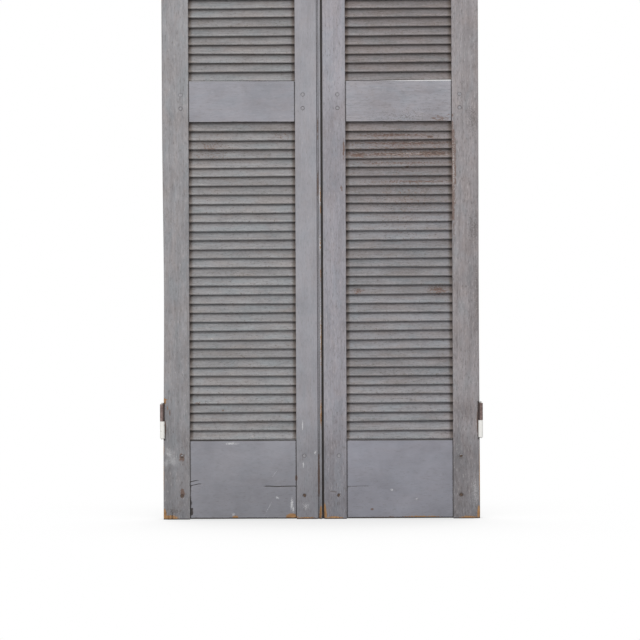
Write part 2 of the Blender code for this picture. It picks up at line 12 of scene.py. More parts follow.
import bmesh
import bpy
import numpy as np
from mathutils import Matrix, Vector


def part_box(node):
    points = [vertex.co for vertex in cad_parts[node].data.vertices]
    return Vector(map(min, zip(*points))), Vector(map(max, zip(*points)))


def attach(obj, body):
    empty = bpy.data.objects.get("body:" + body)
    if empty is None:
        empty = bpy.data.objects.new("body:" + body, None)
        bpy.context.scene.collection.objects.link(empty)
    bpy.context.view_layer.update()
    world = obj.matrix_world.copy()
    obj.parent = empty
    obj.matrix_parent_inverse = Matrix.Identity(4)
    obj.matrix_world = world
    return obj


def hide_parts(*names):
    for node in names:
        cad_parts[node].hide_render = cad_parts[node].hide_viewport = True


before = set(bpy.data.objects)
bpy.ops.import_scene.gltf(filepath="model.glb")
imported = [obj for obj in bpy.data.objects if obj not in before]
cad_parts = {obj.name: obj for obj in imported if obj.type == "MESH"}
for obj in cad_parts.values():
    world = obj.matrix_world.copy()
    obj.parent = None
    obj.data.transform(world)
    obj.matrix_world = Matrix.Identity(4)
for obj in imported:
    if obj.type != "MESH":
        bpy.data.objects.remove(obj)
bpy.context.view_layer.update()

bl_info = {
    "name": "Arched Louvred Doors",
    "version": (1, 0, 0),
    "blender": (4, 5, 0),
    "location": "View3D > Sidebar > Doors",
    "description": "Builds a worn pair of arched louvred doors over their packed frame",
    "category": "Object",
}

MM = 0.001

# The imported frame's own sizes that no single box of it gives
PANEL_WIDTH = 298.0 * MM
LEADING_EDGE_BEVEL = 2.5 * MM
JOINT_WIDTH = 3.2 * MM
JOINT_DEPTH = 10.0 * MM
CONTACT_DEPTH = 14.0 * MM
BEAD_WIDTH = 5.4 * MM
QUIRK_WIDTH = 6.2 * MM
QUIRK_DEPTH = 5.0 * MM
PLATE_WIDTH = 30.0 * MM
PLATE_THICKNESS = 3.2 * MM
PLATE_GAP = 3.0 * MM
PLATE_PROUD = 0.4 * MM
SCREW_SPACING = 36.0 * MM
SCREW_STAGGER = 5.0 * MM
LOWER_SLATS = 35
UPPER_SLATS = 39
SLAT_SILL = 16.06 * MM
SLAT_DEPTH = 17.555 * MM
SLAT_HALF_RISE = 16.6 * MM

# A short slat more in each upper panel closes it under the crown
CROWN_SLATS = 1

# How far the worn feet of the bottom rails lie above the floor
RAIL_FOOT = 1.6 * MM

# How finely the boards are meshed
ARC_STEPS = 4
BOARD_SPACING = 4.0 * MM
STATION_SPACING = 4.0 * MM
FINE_SPACING = 1.25 * MM
PEG_REACH = 8.0 * MM
SUPPORT = 0.7 * MM

# Places that agree to this many decimals of a metre count as one
PLACE_DIGITS = 5

# A noise repeats after this many cells
NOISE_TABLE = 32

# How far a corner's radius swells, the most that it takes of a flat, and the first step of an eased end
SWELLING = 0.35
LARGEST_CORNER = 0.48
FIRST_EASE = 0.3

# How far wear and dirt spread over a board
WEAR_BESIDE_CORNERS = 0.4
WEAR_OF_ENDS = 0.6
WORN_INSET = 0.6 * MM
DIRT_REACH = 4.0 * MM
FACE_REACH = 2.0 * MM
PEG_SLOPE = 1.6 * MM
GAIN_DIRT_REACH = 3.0 * MM
GAIN_DIRT_BELOW = 4.0 * MM
GAIN_DIRT = 0.55

# Over what lengths the faces of each kind of board rise and fall
UPRIGHT_WAVE = (0.03, 0.03, 0.25)
LEVEL_WAVE = (0.25, 0.03, 0.03)
ARCHED_WAVE = (0.12, 0.03, 0.12)

# The left leaf's seed for each kind of piece; the right leaf's is a step more
SEEDS = {
    "hinge_stile": 100,
    "meeting_stile": 300,
    "bottom_rail": 2000,
    "middle_rail": 2200,
    "arched_head": 4000,
}
SEED_STEP = 500
PEG_SEED = 30

# The hinge stiles' hollow outer edges
HOLLOW_DEPTH = {"left": 3.7 * MM, "right": 1.0 * MM}
HOLLOW_HEIGHT = 0.62
HOLLOW_REACH = 0.32

# Splits, cracks and torn corners
FOOT_SPLIT_SETBACK = 24.0 * MM
FOOT_SPLIT_HEIGHT = 46.0 * MM
FOOT_SPLIT_FULL_DIRT = 0.4
FOOT_TEAR_SETBACK = 4.0 * MM
TEAR_START = 0.55
TEAR_RAGGEDNESS = 0.35
TEAR_CELL = 6.0 * MM
TEAR_WEAR = 1.2
TEAR_EVENNESS = 0.8
FIBRE_SHARE = 0.3
FIBRE_CELL = (3.0 * MM, 3.0 * MM, 14.0 * MM)
CRACK_START = 12.0 * MM
CRACK_END = 25.0 * MM
CRACK_CLIMB_START = 60.0 * MM
CRACK_BESIDE = 12.0 * MM
CRACK_WANDER = 0.8 * MM
CRACK_CELL = 25.0 * MM
CRACK_FULL_DIRT = 0.5
SHOULDER_REACH = 14.0 * MM
SHOULDER_HEIGHT = 130.0 * MM
SHOULDER_FADE = 0.7
SHOULDER_LOSS = 1.4 * MM
SHOULDER_EVENNESS = 0.4
SHOULDER_DIRT = (0.2, 0.8)
SPLINTER_SHARE = 0.6
SPLINTER_CELL = (40.0 * MM, 40.0 * MM, 5.0 * MM)
BREAK_SHARE = 0.7
BREAK_CELL = (40.0 * MM, 40.0 * MM, 21.0 * MM)

# Each board's grain begins at its own place in the noises, at most this far away
GRAIN_SPREAD = 20.0

# The bead's and the joint's corners
QUIRK_LEAN = 1.2 * MM
BEAD_LEAN = 0.3 * MM
QUIRK_ARRIS = 0.9 * MM
QUIRK_HOLLOW = 0.6 * MM
BEAD_INNER_ROUND = 2.2 * MM
BEAD_OUTER_ROUND = 2.0 * MM
JOINT_ROUND = 0.4 * MM

# A mark lies on the front, so its depth is more than any board has, and it fades between two depths
MARK_DEPTH = 1000.0
MARK_FADE_START = 8.0 * MM
MARK_FADE_END = 14.0 * MM

# How far inside a mark's rim the noise that breaks it up has its full strength
MARK_RIM = 0.15

# Heights over which dirt fades from the feet and handling browns the slats
FOOT_HEIGHTS = (0.02, 0.36)
HAND_HEIGHTS = (0.8, 1.05)

# How far grime and painted shade reach from the slats' ends
SLAT_END_SHADE_AND_GRIME = 20.0 * MM

# Where painted shade on the hinges ends and begins, outwards from the leaf's edge: with rust beside the
# door's edge, and on the knuckle's outer part
SEAT_RUST_AND_SHADE = (-0.5 * MM, 1.5 * MM)
RIM_SHADE = (6.5 * MM, 8.2 * MM)

# How much old paint the hinges keep, and how strongly rust and painted shade darken their edges
DOOR_COAT_SHARE = 0.35
DOOR_EDGE_RUST_AND_SHADE = 0.8
JAMB_COAT_SHARE = 0.66
JAMB_EDGE_RUST_AND_SHADE = 0.0

# How finely the slats, pegs and screws are meshed, and how the pegs' sizes vary
NOSE_STEPS = 2
SLAT_STEPS = 5
PEG_SIDES = 12
PEG_RINGS = 3
PEG_SIZES = (0.9, 1.06)
PEG_SHAPES = (0.94, 1.06)
SCREW_SIDES = 16
SLOT_OVERRUN = 1.2

# Past this share of its length, from its middle, a peg's points belong to its ends
PEG_END = 0.4

# The slats' slow bends: how much each direction counts in their noise, and its scale
BEND_SHARES = (1.0, 0.2, 2.0)
BEND_SCALE = 5.0

# The stage
WHITE = (1.0, 1.0, 1.0, 1.0)
FLOOR_GREY = (0.8, 0.8, 0.8, 1.0)
FLOOR_REACH = 14.0
FULL_SHADE = 0.4
SHADE_SAMPLES = 16
SENSOR_WIDTH = 36.0
KEY_SIZE = (4.0, 2.4)
KEY_PLACE = (-0.6, -4.6, 2.3)
KEY_AIM_HEIGHT = 0.9

HINGES = ("lower", "upper")
SLOT_PAINT = "painted_wood"
SLOT_PEG = "peg_wood"
SLOT_IRON = "rusted_iron"
JAMB = "jamb_hinges"

Corner = namedtuple("Corner", "across depth radius wear dirt", defaults=(0.0,))
Station = namedtuple("Station", "along inset thin dirt", defaults=(0.0,))
Mark = namedtuple("Mark", "x z half_width half_height strength lean")
Look = namedtuple("Look", "tint age")
Coat = namedtuple("Coat", "colour share edge_dirt")
Tear = namedtuple("Tear", "half_width half_height depth")
Crack = namedtuple("Crack", "height start end rise opening", defaults=(0.0, 1.0))

HINGE_FOOT_TEAR = Tear(14 * MM, 24 * MM, 5 * MM)
MEETING_FOOT_TEAR = Tear(9 * MM, 34 * MM, 6 * MM)
CRACKS = {
    "left": (
        Crack(91 * MM, 60 * MM, 150 * MM),
        Crack(91 * MM, 345 * MM, 380 * MM, 0.17),
        Crack(104 * MM, 352 * MM, 380 * MM, 0.17),
    ),
    "right": (Crack(91 * MM, 60 * MM, 126 * MM, 0.0, 0.6),),
}

# The tint of each board's paint, and how far it has aged
LOOKS = {
    "left_hinge_stile": Look((0.87, 0.865, 0.852), 1.0),
    "right_hinge_stile": Look((0.868, 0.822, 0.802), 1.2),
    "left_meeting_stile": Look((0.978, 0.98, 1.005), 0.45),
    "right_meeting_stile": Look((0.96, 0.945, 0.985), 0.9),
    "left_bottom_rail": Look((0.978, 0.995, 1.045), 0.15),
    "right_bottom_rail": Look((1.02, 1.042, 1.13), 0.1),
    "left_middle_rail": Look((0.89, 0.9, 0.945), 0.4),
    "right_middle_rail": Look((0.925, 0.925, 0.96), 0.7),
    "left_arched_head": Look((0.97, 0.97, 0.99), 0.7),
    "right_arched_head": Look((0.97, 0.97, 0.99), 0.7),
}


class Leaf:
    """Where one leaf's pieces begin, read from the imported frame; side is -1 on the left."""

    def __init__(self, name, side):
        self.name = name
        self.side = side
        self.body = f"{name}_door"
        stile_low, stile_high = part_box(f"{name}_hinge_stile")
        meeting_low, meeting_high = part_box(f"{name}_meeting_stile")
        self.front = stile_low.y
        self.back = stile_high.y
        self.middle = (self.front + self.back) / 2
        self.plate_back = self.front + PLATE_WIDTH + PLATE_PROUD
        self.arch_radius = max(abs(stile_low.x), abs(stile_high.x))
        self.opening_radius = min(abs(stile_low.x), abs(stile_high.x))
        self.hinge_edge = side * self.arch_radius
        self.panel_outer = side * self.opening_radius
        self.panel_inner = self.panel_outer - side * PANEL_WIDTH
        self.meeting_edge = meeting_high.x if side < 0 else meeting_low.x
        self.crown = meeting_high.z
        self.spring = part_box(f"{name}_arched_head")[0].z
        self.bottom_rail_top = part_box(f"{name}_bottom_rail")[1].z
        self.middle_rail_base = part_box(f"{name}_middle_rail")[0].z
        self.middle_rail_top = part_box(f"{name}_middle_rail")[1].z

    def pegs(self, *words):
        """The middle of each of the leaf's pegs whose node's name holds one of the words."""
        places = {}
        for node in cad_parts:
            ours = node.startswith(self.name) and node.endswith("_peg")
            if ours and any(word in node for word in words):
                low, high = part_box(node)
                places[node] = (low + high) / 2
        return places

    def seed(self, node):
        return SEEDS[node] + (SEED_STEP if self.side > 0 else 0)

    def plates(self):
        """The lowest and the highest point of each hinge's plates."""
        boxes = [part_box(f"{self.name}_{hinge}_hinge_jamb_half") for hinge in HINGES]
        return [(low.z, high.z) for low, high in boxes]


LEAVES = (Leaf("left", -1), Leaf("right", 1))
MEETING_LINE = (LEAVES[0].meeting_edge + LEAVES[1].meeting_edge) / 2


def mark(x, z, half_width, half_height, strength=1.0, lean=0.0):
    """A stain or bare patch: millimetres, and the degrees that its top leans to the right."""
    sizes = (x * MM, z * MM, half_width * MM, half_height * MM)
    return Mark(*sizes, strength, math.radians(lean))


MARKS = {
    ("left", "bare"): {
        "foot of the hinge stile": mark(-424, 3, 30, 13, 1.0),
        "hinge corner of the foot": mark(-440, 12, 7, 24, 1.0),
        "meeting end of the bottom rail": mark(-84, 6, 22, 14, 1.0),
        "foot of the meeting stile": mark(-46, 1, 48, 9, 0.55),
        "flame beside the joint": mark(-4, 12, 5, 38, 0.9, 4),
        "bottom edge of the bottom rail": mark(-242, 5, 12, 9, 0.8),
        "edge above the hinge": mark(-440, 331, 7, 13, 1.0),
        "edge below the hinge": mark(-443, 196, 4, 26, 0.8),
        "edge over the foot": mark(-443, 120, 3.5, 70, 0.6),
        "nick by the hinge": mark(-431, 312, 2, 14, 0.45),
        "nick over the hinge": mark(-436, 336, 7, 3, 0.7),
        "bare rim of the upper foot peg": mark(-390, 180, 9, 10, 0.3),
        "bead by the hand": mark(0, 905, 5, 52, 0.4),
        "golden tear by the hand": mark(1, 866, 4, 18, 0.75),
        "bead under the hand": mark(-1, 768, 5, 40, 0.34),
        "bead by the hip": mark(0, 684, 4, 34, 0.45),
        "bead near the foot": mark(-1, 290, 5, 84, 0.46),
        "bare bead by the knee": mark(0, 500, 5, 190, 0.36),
    },
    ("left", "scuff"): {
        "bottom edge of the meeting stile": mark(-40, 1, 50, 9, 0.7),
        "rust under the knuckle": mark(-441, 252, 8, 36, 1.5),
        "nick inside the hinge": mark(-424, 300, 2, 16, 0.8),
        "ring round the upper foot peg": mark(-391, 173, 15, 22, 0.6),
        "round the lower foot peg": mark(-390, 73, 9, 20, 1.0),
        "quirk by the hand": mark(-7, 930, 6, 80, 0.55),
        "quirk by the middle rail": mark(-7, 1090, 5, 80, 0.45),
        "quirk near the foot": mark(-8, 120, 5, 110, 0.7),
        "hollow by the meeting stile": mark(-71, 115, 5, 12, 1.0),
    },
    ("left", "dirt"): {
        "stain at the foot": mark(-412, 24, 40, 30, 0.5),
    },
    ("left", "chalk"): {
        "pale bead by the hand": mark(-2, 905, 7, 66, 0.66),
        "pale bead under the hand": mark(-2, 768, 7, 56, 0.66),
        "pale bead near the foot": mark(-2, 300, 4, 60, 0.4),
        "pale bead by the knee": mark(-1, 520, 7, 200, 0.6),
        "fleck in the haze": mark(-432, 184, 5, 14, 0.5, -30),
        "smear on the rail": mark(-84, 42, 8, 36, 0.72, 4),
        "foot of the smear": mark(-80, 28, 5, 20, 0.75, 2),
        "dab beside the smear": mark(-124, 60, 11, 6, 0.7, 20),
        "scratch across the rail": mark(-150, 30, 2.5, 50, 0.55, 28),
        "second scratch": mark(-130, 130, 3, 30, 0.5, 34),
        "top edge of the rail": mark(-252, 212, 46, 8, 0.62),
        "run on the meeting stile": mark(-53, 262, 2.5, 26, 0.85),
        "second run": mark(-51, 152, 4, 14, 0.8),
        "dab by the quirk": mark(-18, 186, 6, 12, 0.7, 24),
        "speckle on the meeting foot": mark(-44, 36, 22, 24, 0.5),
        "dab at the rail's foot": mark(-247, 14, 10, 10, 0.6),
    },
    ("left", "haze"): {
        "haze over the peg": mark(-426, 184, 20, 34, 0.65, -24),
        "haze beside the peg": mark(-418, 164, 30, 22, 0.65, 34),
        "haze by the edge": mark(-434, 160, 12, 30, 0.65, 16),
    },
    ("left", "peg"): {
        "upper hinge peg": mark(-391, 172, 9, 9, 0.8),
        "lower hinge peg": mark(-391, 68, 9, 9, 0.9),
        "lower meeting peg": mark(-46, 68, 9, 9, 1.1),
    },
    ("right", "bare"): {
        "flame beside the joint": mark(10, 14, 5, 44, 0.9, -4),
        "foot of the meeting stile": mark(36, 1, 34, 9, 0.9),
        "outer foot": mark(440, 15, 7, 30, 1.0),
        "foot of the hinge stile": mark(412, 1, 40, 9, 0.8),
        "foot of the rail": mark(280, 3, 100, 8, 0.62),
        "outer edge": mark(443, 120, 4, 130, 0.7),
    },
    ("right", "scuff"): {
        "rust by the knuckle": mark(441, 268, 8, 58, 1.5),
        "spot on the rail": mark(141, 27, 8, 6, 0.55),
        "bottom edge of the rail": mark(220, 2, 240, 8, 0.6),
        "worn inner edge of the hinge stile": mark(371, 975, 14, 270, 0.72),
        "rubbed end of the middle rail": mark(335, 1122, 70, 30, 0.38),
        "edge of the meeting stile, upper": mark(66, 1030, 6, 60, 0.6),
        "edge of the meeting stile, lower": mark(59, 926, 11, 22, 0.42),
    },
    ("right", "dirt"): {
        "round the lower hinge peg": mark(391, 68, 11, 11, 1.0),
        "round the upper hinge peg": mark(390, 172, 11, 11, 0.95),
        "stains on the hinge stile": mark(422, 830, 36, 150, 0.31),
        "specks over the hip": mark(430, 812, 46, 120, 0.46),
        "specks on the outer edge": mark(438, 620, 18, 320, 0.46),
        "stains by the middle rail": mark(428, 1120, 50, 100, 0.42),
        "specks on the middle rail": mark(240, 1124, 240, 60, 0.36),
        "scrape over the foot peg": mark(33, 77, 18, 4, 0.8, 8),
    },
    ("right", "chalk"): {
        "near the rail's middle": mark(196, 81, 9, 8, 0.6, 30),
        "rail below the peg": mark(266, 56, 9, 8, 0.55, -30),
        "speckle on the outer foot": mark(428, 80, 24, 84, 0.38),
        "pale inner edge of the hinge stile": mark(373, 975, 10, 260, 0.5),
    },
    ("right", "haze"): {
        "haze on the outer foot": mark(430, 70, 20, 84, 0.45),
    },
    ("right", "peg"): {
        "upper meeting peg": mark(45, 172, 9, 9, 0.2),
        "lower meeting peg": mark(45, 68, 9, 9, 1.0),
        "upper hinge peg": mark(391, 172, 9, 9, 1.0),
        "lower hinge peg": mark(391, 68, 9, 9, 1.0),
    },
}
SLAT_MARKS = {
    ("left", "chalk"): {
        "dust on the lowest slats": mark(-192, 232, 16, 8, 0.6),
        "dust in the corner": mark(-92, 244, 14, 10, 0.75),
        "spot by the hip": mark(-305, 505, 6, 5, 1.0),
    },
    ("left", "scuff"): {
        "hand height stains": mark(-300, 1040, 110, 90, 0.34),
        "stain under the rail": mark(-110, 1070, 60, 40, 0.34),
        "worm hole near the foot": mark(-275, 305, 4, 3, 1.2),
        "specks near the foot": mark(-344, 325, 16, 9, 0.5),
    },
    ("right", "scuff"): {
        "hand height scuffs": mark(230, 1040, 420, 100, 0.34),
        "faded scuffs below": mark(250, 900, 420, 340, 0.27),
        "second slat": mark(200, 1074, 220, 14, 0.52),
        "third slat": mark(250, 1052, 420, 13, 0.53),
        "fourth slat": mark(220, 1021, 500, 17, 0.46),
        "hinge end of the fourth slat": mark(310, 1022, 110, 17, 0.64),
        "middle of the fourth slat": mark(222, 1020, 40, 17, 0.54),
        "meeting end of the fourth slat": mark(105, 1019, 62, 17, 0.62),
        "fifth slat": mark(220, 996, 300, 10, 0.46),
        "seventh slat": mark(270, 944, 260, 9, 0.52),
        "dark spot on the second slat": mark(307, 1069, 11, 4, 1.6),
        "dark spot on the sixth slat": mark(243, 985, 7, 4, 1.5),
        "chips by the hip, meeting end": mark(104, 637, 32, 22, 0.5),
        "chips by the hip, hinge end": mark(327, 640, 60, 28, 0.52),
    },
    ("right", "chalk"): {
        "flecks on the fourth slat": mark(250, 1022, 330, 16, 0.58),
        "flecks above it": mark(260, 1052, 300, 40, 0.44),
    },
}


def settings_of(context):
    return context.scene.louvred_doors


# Noise and meshes


def lattice_noise(points, cell, seed):
    """Smooth random values from -1 to 1 at an array of points, with features one cell across."""
    table = np.random.default_rng(seed).uniform(-1.0, 1.0, (NOISE_TABLE,) * 3)
    scaled = np.asarray(points, dtype=float) / np.asarray(cell)
    base = np.floor(scaled).astype(int)
    part = scaled - base
    part = part * part * (3.0 - 2.0 * part)
    total = np.zeros(len(scaled))
    for corner in itertools.product((0, 1), repeat=3):
        index = (base + np.array(corner)) % NOISE_TABLE
        weight = np.prod(np.where(corner, part, 1.0 - part), axis=1)
        total += weight * table[index[:, 0], index[:, 1], index[:, 2]]
    return total


def on_line(values):
    """Points on one line, for a noise that changes along it alone."""
    still = np.zeros_like(values)
    return np.stack((values, still, still), axis=1)


def smooth_step(low, high, values):
    share = np.clip((values - low) / (high - low), 0.0, 1.0)
    return share * share * (3.0 - 2.0 * share)


def spread(low, high, spacing, fine_places=(), fine_reach=PEG_REACH):
    """Places from low to high at about the spacing, and finer around the given ones."""
    steps = max(1, round((high - low) / spacing))
    places = list(np.linspace(low, high, steps + 1))
    fine = []
    for place in fine_places:
        count = round(2 * fine_reach / FINE_SPACING)
        for value in np.linspace(place - fine_reach, place + fine_reach, count + 1):
            if low + SUPPORT < value < high - SUPPORT:
                fine.append(value)
    coarse = []
    for value in places[1:-1]:
        if all(abs(value - other) > SUPPORT for other in fine):
            coarse.append(value)
    merged = []
    for value in sorted([*coarse, *fine]):
        if not merged or value - merged[-1] > SUPPORT / 2:
            merged.append(value)
    return [places[0], *merged, places[-1]]


def new_piece(name, mesh, material):
    """A scene object for a finished mesh."""
    piece = bpy.data.objects.new(name, mesh)
    bpy.context.scene.collection.objects.link(piece)
    mesh.materials.clear()
    mesh.materials.append(material)
    return piece


def hand_over(piece, body, slot, *nodes):
    """Ties a finished piece to its body and hides the nodes that it stands for; its slot is not used."""
    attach(piece, body)
    if nodes:
        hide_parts(*nodes)


# Boards


class Skin:
    """How worn each point of a board is, and how much dirt and painted shade it carries."""

    def __init__(self, wear, dirt):
        self.wear = wear
        self.dirt = dirt


class Board:
    """A board swept along its grain from a section with rounded, worn corners."""

    def __init__(self, corners, stations, wear, seed, fine_across=(), fine_depth=()):
        self.corners = corners
        self.stations = stations
        self.wear_settings = wear
        self.seed = seed
        self.fine = (fine_across, fine_depth)
        self.points, self.wear, self.dirt = self.swept()

    def worn_radius(self, along, index):
        """The corner's radius at each station: a slow swelling, with short chips let into it."""
        corner = self.corners[index]
        settings = self.wear_settings
        spots = on_line(along)
        seed = self.seed + 10 * index
        slow = lattice_noise(spots, settings.arris_cell, seed)
        chip = lattice_noise(spots, settings.chip_cell, seed + 1)
        chip = smooth_step(settings.chip_start, 1.0, chip)
        return corner.radius * (1.0 + SWELLING * slow) + settings.chip_size * corner.wear * chip

    def flat_places(self, index, length):
        """Distances along the flat after a corner, clear of the corners at both its ends."""
        following = (index + 1) % len(self.corners)
        clear = []
        for number in (index, following):
            corner = self.corners[number]
            chip = self.wear_settings.chip_size * corner.wear
            room = (1.0 + SWELLING) * corner.radius + chip + SUPPORT
            clear.append(min(room, LARGEST_CORNER * length))
        low, high = clear[0], length - clear[1]
        if high - low < SUPPORT / 2:
            return []
        start, end = self.corners[index], self.corners[following]
        level = abs(end.across - start.across) > abs(end.depth - start.depth)
        first = start.across if level else start.depth
        sign = 1.0 if (end.across > start.across if level else end.depth > start.depth) else -1.0
        fine = [sign * (value - first) for value in self.fine[0 if level else 1]]
        reach = PEG_REACH if level else FINE_SPACING
        return spread(low, high, BOARD_SPACING, fine, reach)

    def swept(self):
        """The points as (station, ring, across depth along), and the wear and the dirt and painted shade
        of each.
        """
        along = np.array([station.along for station in self.stations])
        inset = np.array([station.inset for station in self.stations])[:, None]
        thin = np.array([station.thin for station in self.stations])
        places = np.array([(corner.across, corner.depth) for corner in self.corners])
        ahead = np.roll(places, -1, axis=0) - places
        lengths = np.linalg.norm(ahead, axis=1)
        following = np.roll(places, -1, axis=0)
        area = np.sum(places[:, 0] * following[:, 1] - places[:, 1] * following[:, 0])
        ahead = ahead / lengths[:, None]
        behind = -np.roll(ahead, 1, axis=0)
        inward = np.stack((-ahead[:, 1], ahead[:, 0]), axis=1) * math.copysign(1.0, area)
        before = np.roll(inward, 1, axis=0)
        mitre = (inward + before) / (1.0 + np.sum(inward * before, axis=1))[:, None]
        ring = []
        wear = []
        dirt = []
        for index, corner in enumerate(self.corners):
            following = (index + 1) % len(self.corners)
            base = places[index] + inset * mitre[index]
            next_base = places[following] + inset * mitre[following]
            limit = LARGEST_CORNER * min(lengths[index], lengths[index - 1])
            radius = np.minimum(self.worn_radius(along, index), limit)[:, None]
            start = base + radius * behind[index]
            end = base + radius * ahead[index]
            for share in np.linspace(0.0, 1.0, ARC_STEPS + 1):
                rest = 1.0 - share
                ring.append(rest * rest * start + 2.0 * share * rest * base + share * share * end)
                wear.append(corner.wear)
                dirt.append(corner.dirt)
            flat = self.flat_places(index, lengths[index])
            for number, place in enumerate(flat):
                ring.append(base + (next_base - base) * (place / lengths[index]))
                beside = corner.wear if number == 0 else self.corners[following].wear
                at_end = number in (0, len(flat) - 1)
                wear.append(WEAR_BESIDE_CORNERS * beside if at_end else 0.0)
                behind_dirt = corner.dirt * (1.0 - place / DIRT_REACH)
                to_next = lengths[index] - place
                ahead_dirt = self.corners[following].dirt * (1.0 - to_next / DIRT_REACH)
                dirt.append(max(0.0, behind_dirt, ahead_dirt))
        section = np.stack(ring, axis=1)
        depths = [corner.depth for corner in self.corners]
        middle = (min(depths) + max(depths)) / 2
        section[:, :, 1] = middle + (section[:, :, 1] - middle) * thin[:, None]
        stations = np.broadcast_to(along[:, None, None], (*section.shape[:2], 1))
        worn = np.broadcast_to(np.array(wear), section.shape[:2]).copy()
        worn = np.maximum(worn, WEAR_OF_ENDS * smooth_step(0.0, WORN_INSET, inset))
        soiled = np.broadcast_to(np.array(dirt), section.shape[:2]).copy()
        soiled = np.maximum(soiled, np.array([station.dirt for station in self.stations])[:, None])
        return np.concatenate((section, stations), axis=2), worn, soiled

    def piece(self, name, material, place, shapers, look):
        """Places and shapes the board, and makes its mesh with what its finish reads at each point."""
        count, ring = self.points.shape[:2]
        grain = self.points.reshape(-1, 3)
        points = place(grain)
        skin = Skin(self.wear.reshape(-1), self.dirt.reshape(-1))
        for shaper in shapers:
            shaper(points, skin)
        rows = np.arange(count - 1)[:, None] * ring
        here = np.arange(ring)[None, :]
        ahead = (here + 1) % ring
        corners = (rows + here, rows + ahead, rows + ring + ahead, rows + ring + here)
        faces = np.stack(corners, axis=-1).reshape(-1, 4).tolist()
        faces.append(list(range(ring)))
        faces.append(list(range((count - 1) * ring, count * ring)))
        mesh = bpy.data.meshes.new(name)
        mesh.from_pydata(points.tolist(), [], faces)
        face_outwards(mesh)
        mesh.shade_smooth()
        offset = np.random.default_rng(self.seed).uniform(0.0, GRAIN_SPREAD, 3)
        store(mesh, "grain", "FLOAT_VECTOR", "vector", grain + offset)
        store(mesh, "wear", "FLOAT", "value", skin.wear)
        store(mesh, "dirt", "FLOAT", "value", skin.dirt)
        store(mesh, "tint", "FLOAT_VECTOR", "vector", np.broadcast_to(look.tint, points.shape))
        store(mesh, "age", "FLOAT", "value", np.full(len(points), look.age))
        return new_piece(name, mesh, material)


def face_outwards(mesh):
    shape = bmesh.new()
    shape.from_mesh(mesh)
    bmesh.ops.recalc_face_normals(shape, faces=shape.faces)
    shape.to_mesh(mesh)
    shape.free()


def store(mesh, name, kind, field, values):
    layer = mesh.attributes.new(name, kind, "POINT")
    layer.data.foreach_set(field, np.ascontiguousarray(values, dtype=np.float32).ravel())


def plain_stations(low, high, wear, fine_places=()):
    """Stations from one sawn end to the other: both ends are eased, and the first carries dirt, which at
    a stile's foot is also painted shade along the floor.
    """
    ease = wear.end_ease
    step = FIRST_EASE * ease
    soil = wear.end_dirt
    stations = [Station(low, ease, 1.0, soil), Station(low + step, step, 1.0, soil)]
    for along in spread(low + ease, high - ease, STATION_SPACING, fine_places):
        stations.append(Station(along, 0.0, 1.0, soil if along < low + 2 * ease else 0.0))
    return [*stations, Station(high - step, step, 1.0), Station(high, ease, 1.0)]


def tongued_stations(low, high, wear, fine_places=()):
    """Stations between two shoulders, with a thin tongue at each end that runs into the next board."""
    gap = wear.shoulder_gap
    stations = []
    for station in plain_stations(low + gap, high - gap, wear, fine_places):
        depth = min(station.along - low, high - station.along)
        soiled = 1.0 - smooth_step(gap, wear.shoulder_dirt, depth)
        stations.append(station._replace(dirt=float(soiled)))
    root = gap + wear.end_ease / 3
    tip = wear.tongue_length
    places = (low - tip, low + root, high - root, high + tip)
    tongues = [Station(place, 0.0, wear.tongue_share, 1.0) for place in places]
    return [*tongues[:2], *stations, *tongues[2:]]


def columns(pegs):
    """The places across a leaf at which pegs stand, each of them once."""
    return sorted({round(place.x, PLACE_DIGITS) for place in pegs})


def upright(points):
    return points.copy()


def level(points):
    """Across the board is up, and along it is to the right."""
    return points[:, (2, 1, 0)].copy()


def arched(leaf, length):
    """Across the board is out from the arch's middle, and along it is from hinges to crown."""

    def place(points):
        radius = points[:, 0]
        angle = points[:, 2] / length * np.arccos(abs(leaf.panel_inner) / radius)
        x = leaf.side * radius * np.cos(angle)
        return np.stack((x, points[:, 1], leaf.spring + radius * np.sin(angle)), axis=1)

    return place


def crown_planed(leaf):
    """The meeting stile's top, planed to the arch."""

    def place(points):
        placed = points.copy()
        drop = leaf.arch_radius - np.sqrt(leaf.arch_radius**2 - points[:, 0] ** 2)
        placed[:, 2] -= drop * smooth_step(leaf.spring, leaf.crown, points[:, 2])
        return placed

    return place


# What age has done to the boards


def wavy(amount, cell, seed):
    """Faces that are no longer quite flat."""

    def shape(points, skin):
        points[:, 1] += amount * lattice_noise(points, cell, seed)

    return shape


def peg_sinks(leaf, places, wear):
    """Shallow, dirty dishes round the pegs, in both faces of a board."""

    def shape(points, skin):
        for place in places:
            reach = np.hypot(points[:, 0] - place.x, points[:, 2] - place.z)
            share = 1.0 - smooth_step(wear.peg_rim, wear.peg_rim + PEG_SLOPE, reach)
            near_front = np.abs(points[:, 1] - leaf.front) < FACE_REACH
            near_back = np.abs(points[:, 1] - leaf.back) < FACE_REACH
            points[:, 1] += wear.peg_sink * share * (1.0 * near_front - near_back)
            skin.dirt = np.maximum(skin.dirt, wear.peg_dirt * share * (near_front | near_back))

    return shape


def bowed_edge(leaf):
    """The hinge stile's outer edge, planed hollow along its length."""

    def shape(points, skin):
        share = smooth_step(leaf.opening_radius, leaf.arch_radius, np.abs(points[:, 0]))
        hollow = np.exp(-(((points[:, 2] - HOLLOW_HEIGHT) / HOLLOW_REACH) ** 2))
        points[:, 0] -= leaf.side * HOLLOW_DEPTH[leaf.name] * share * hollow

    return shape


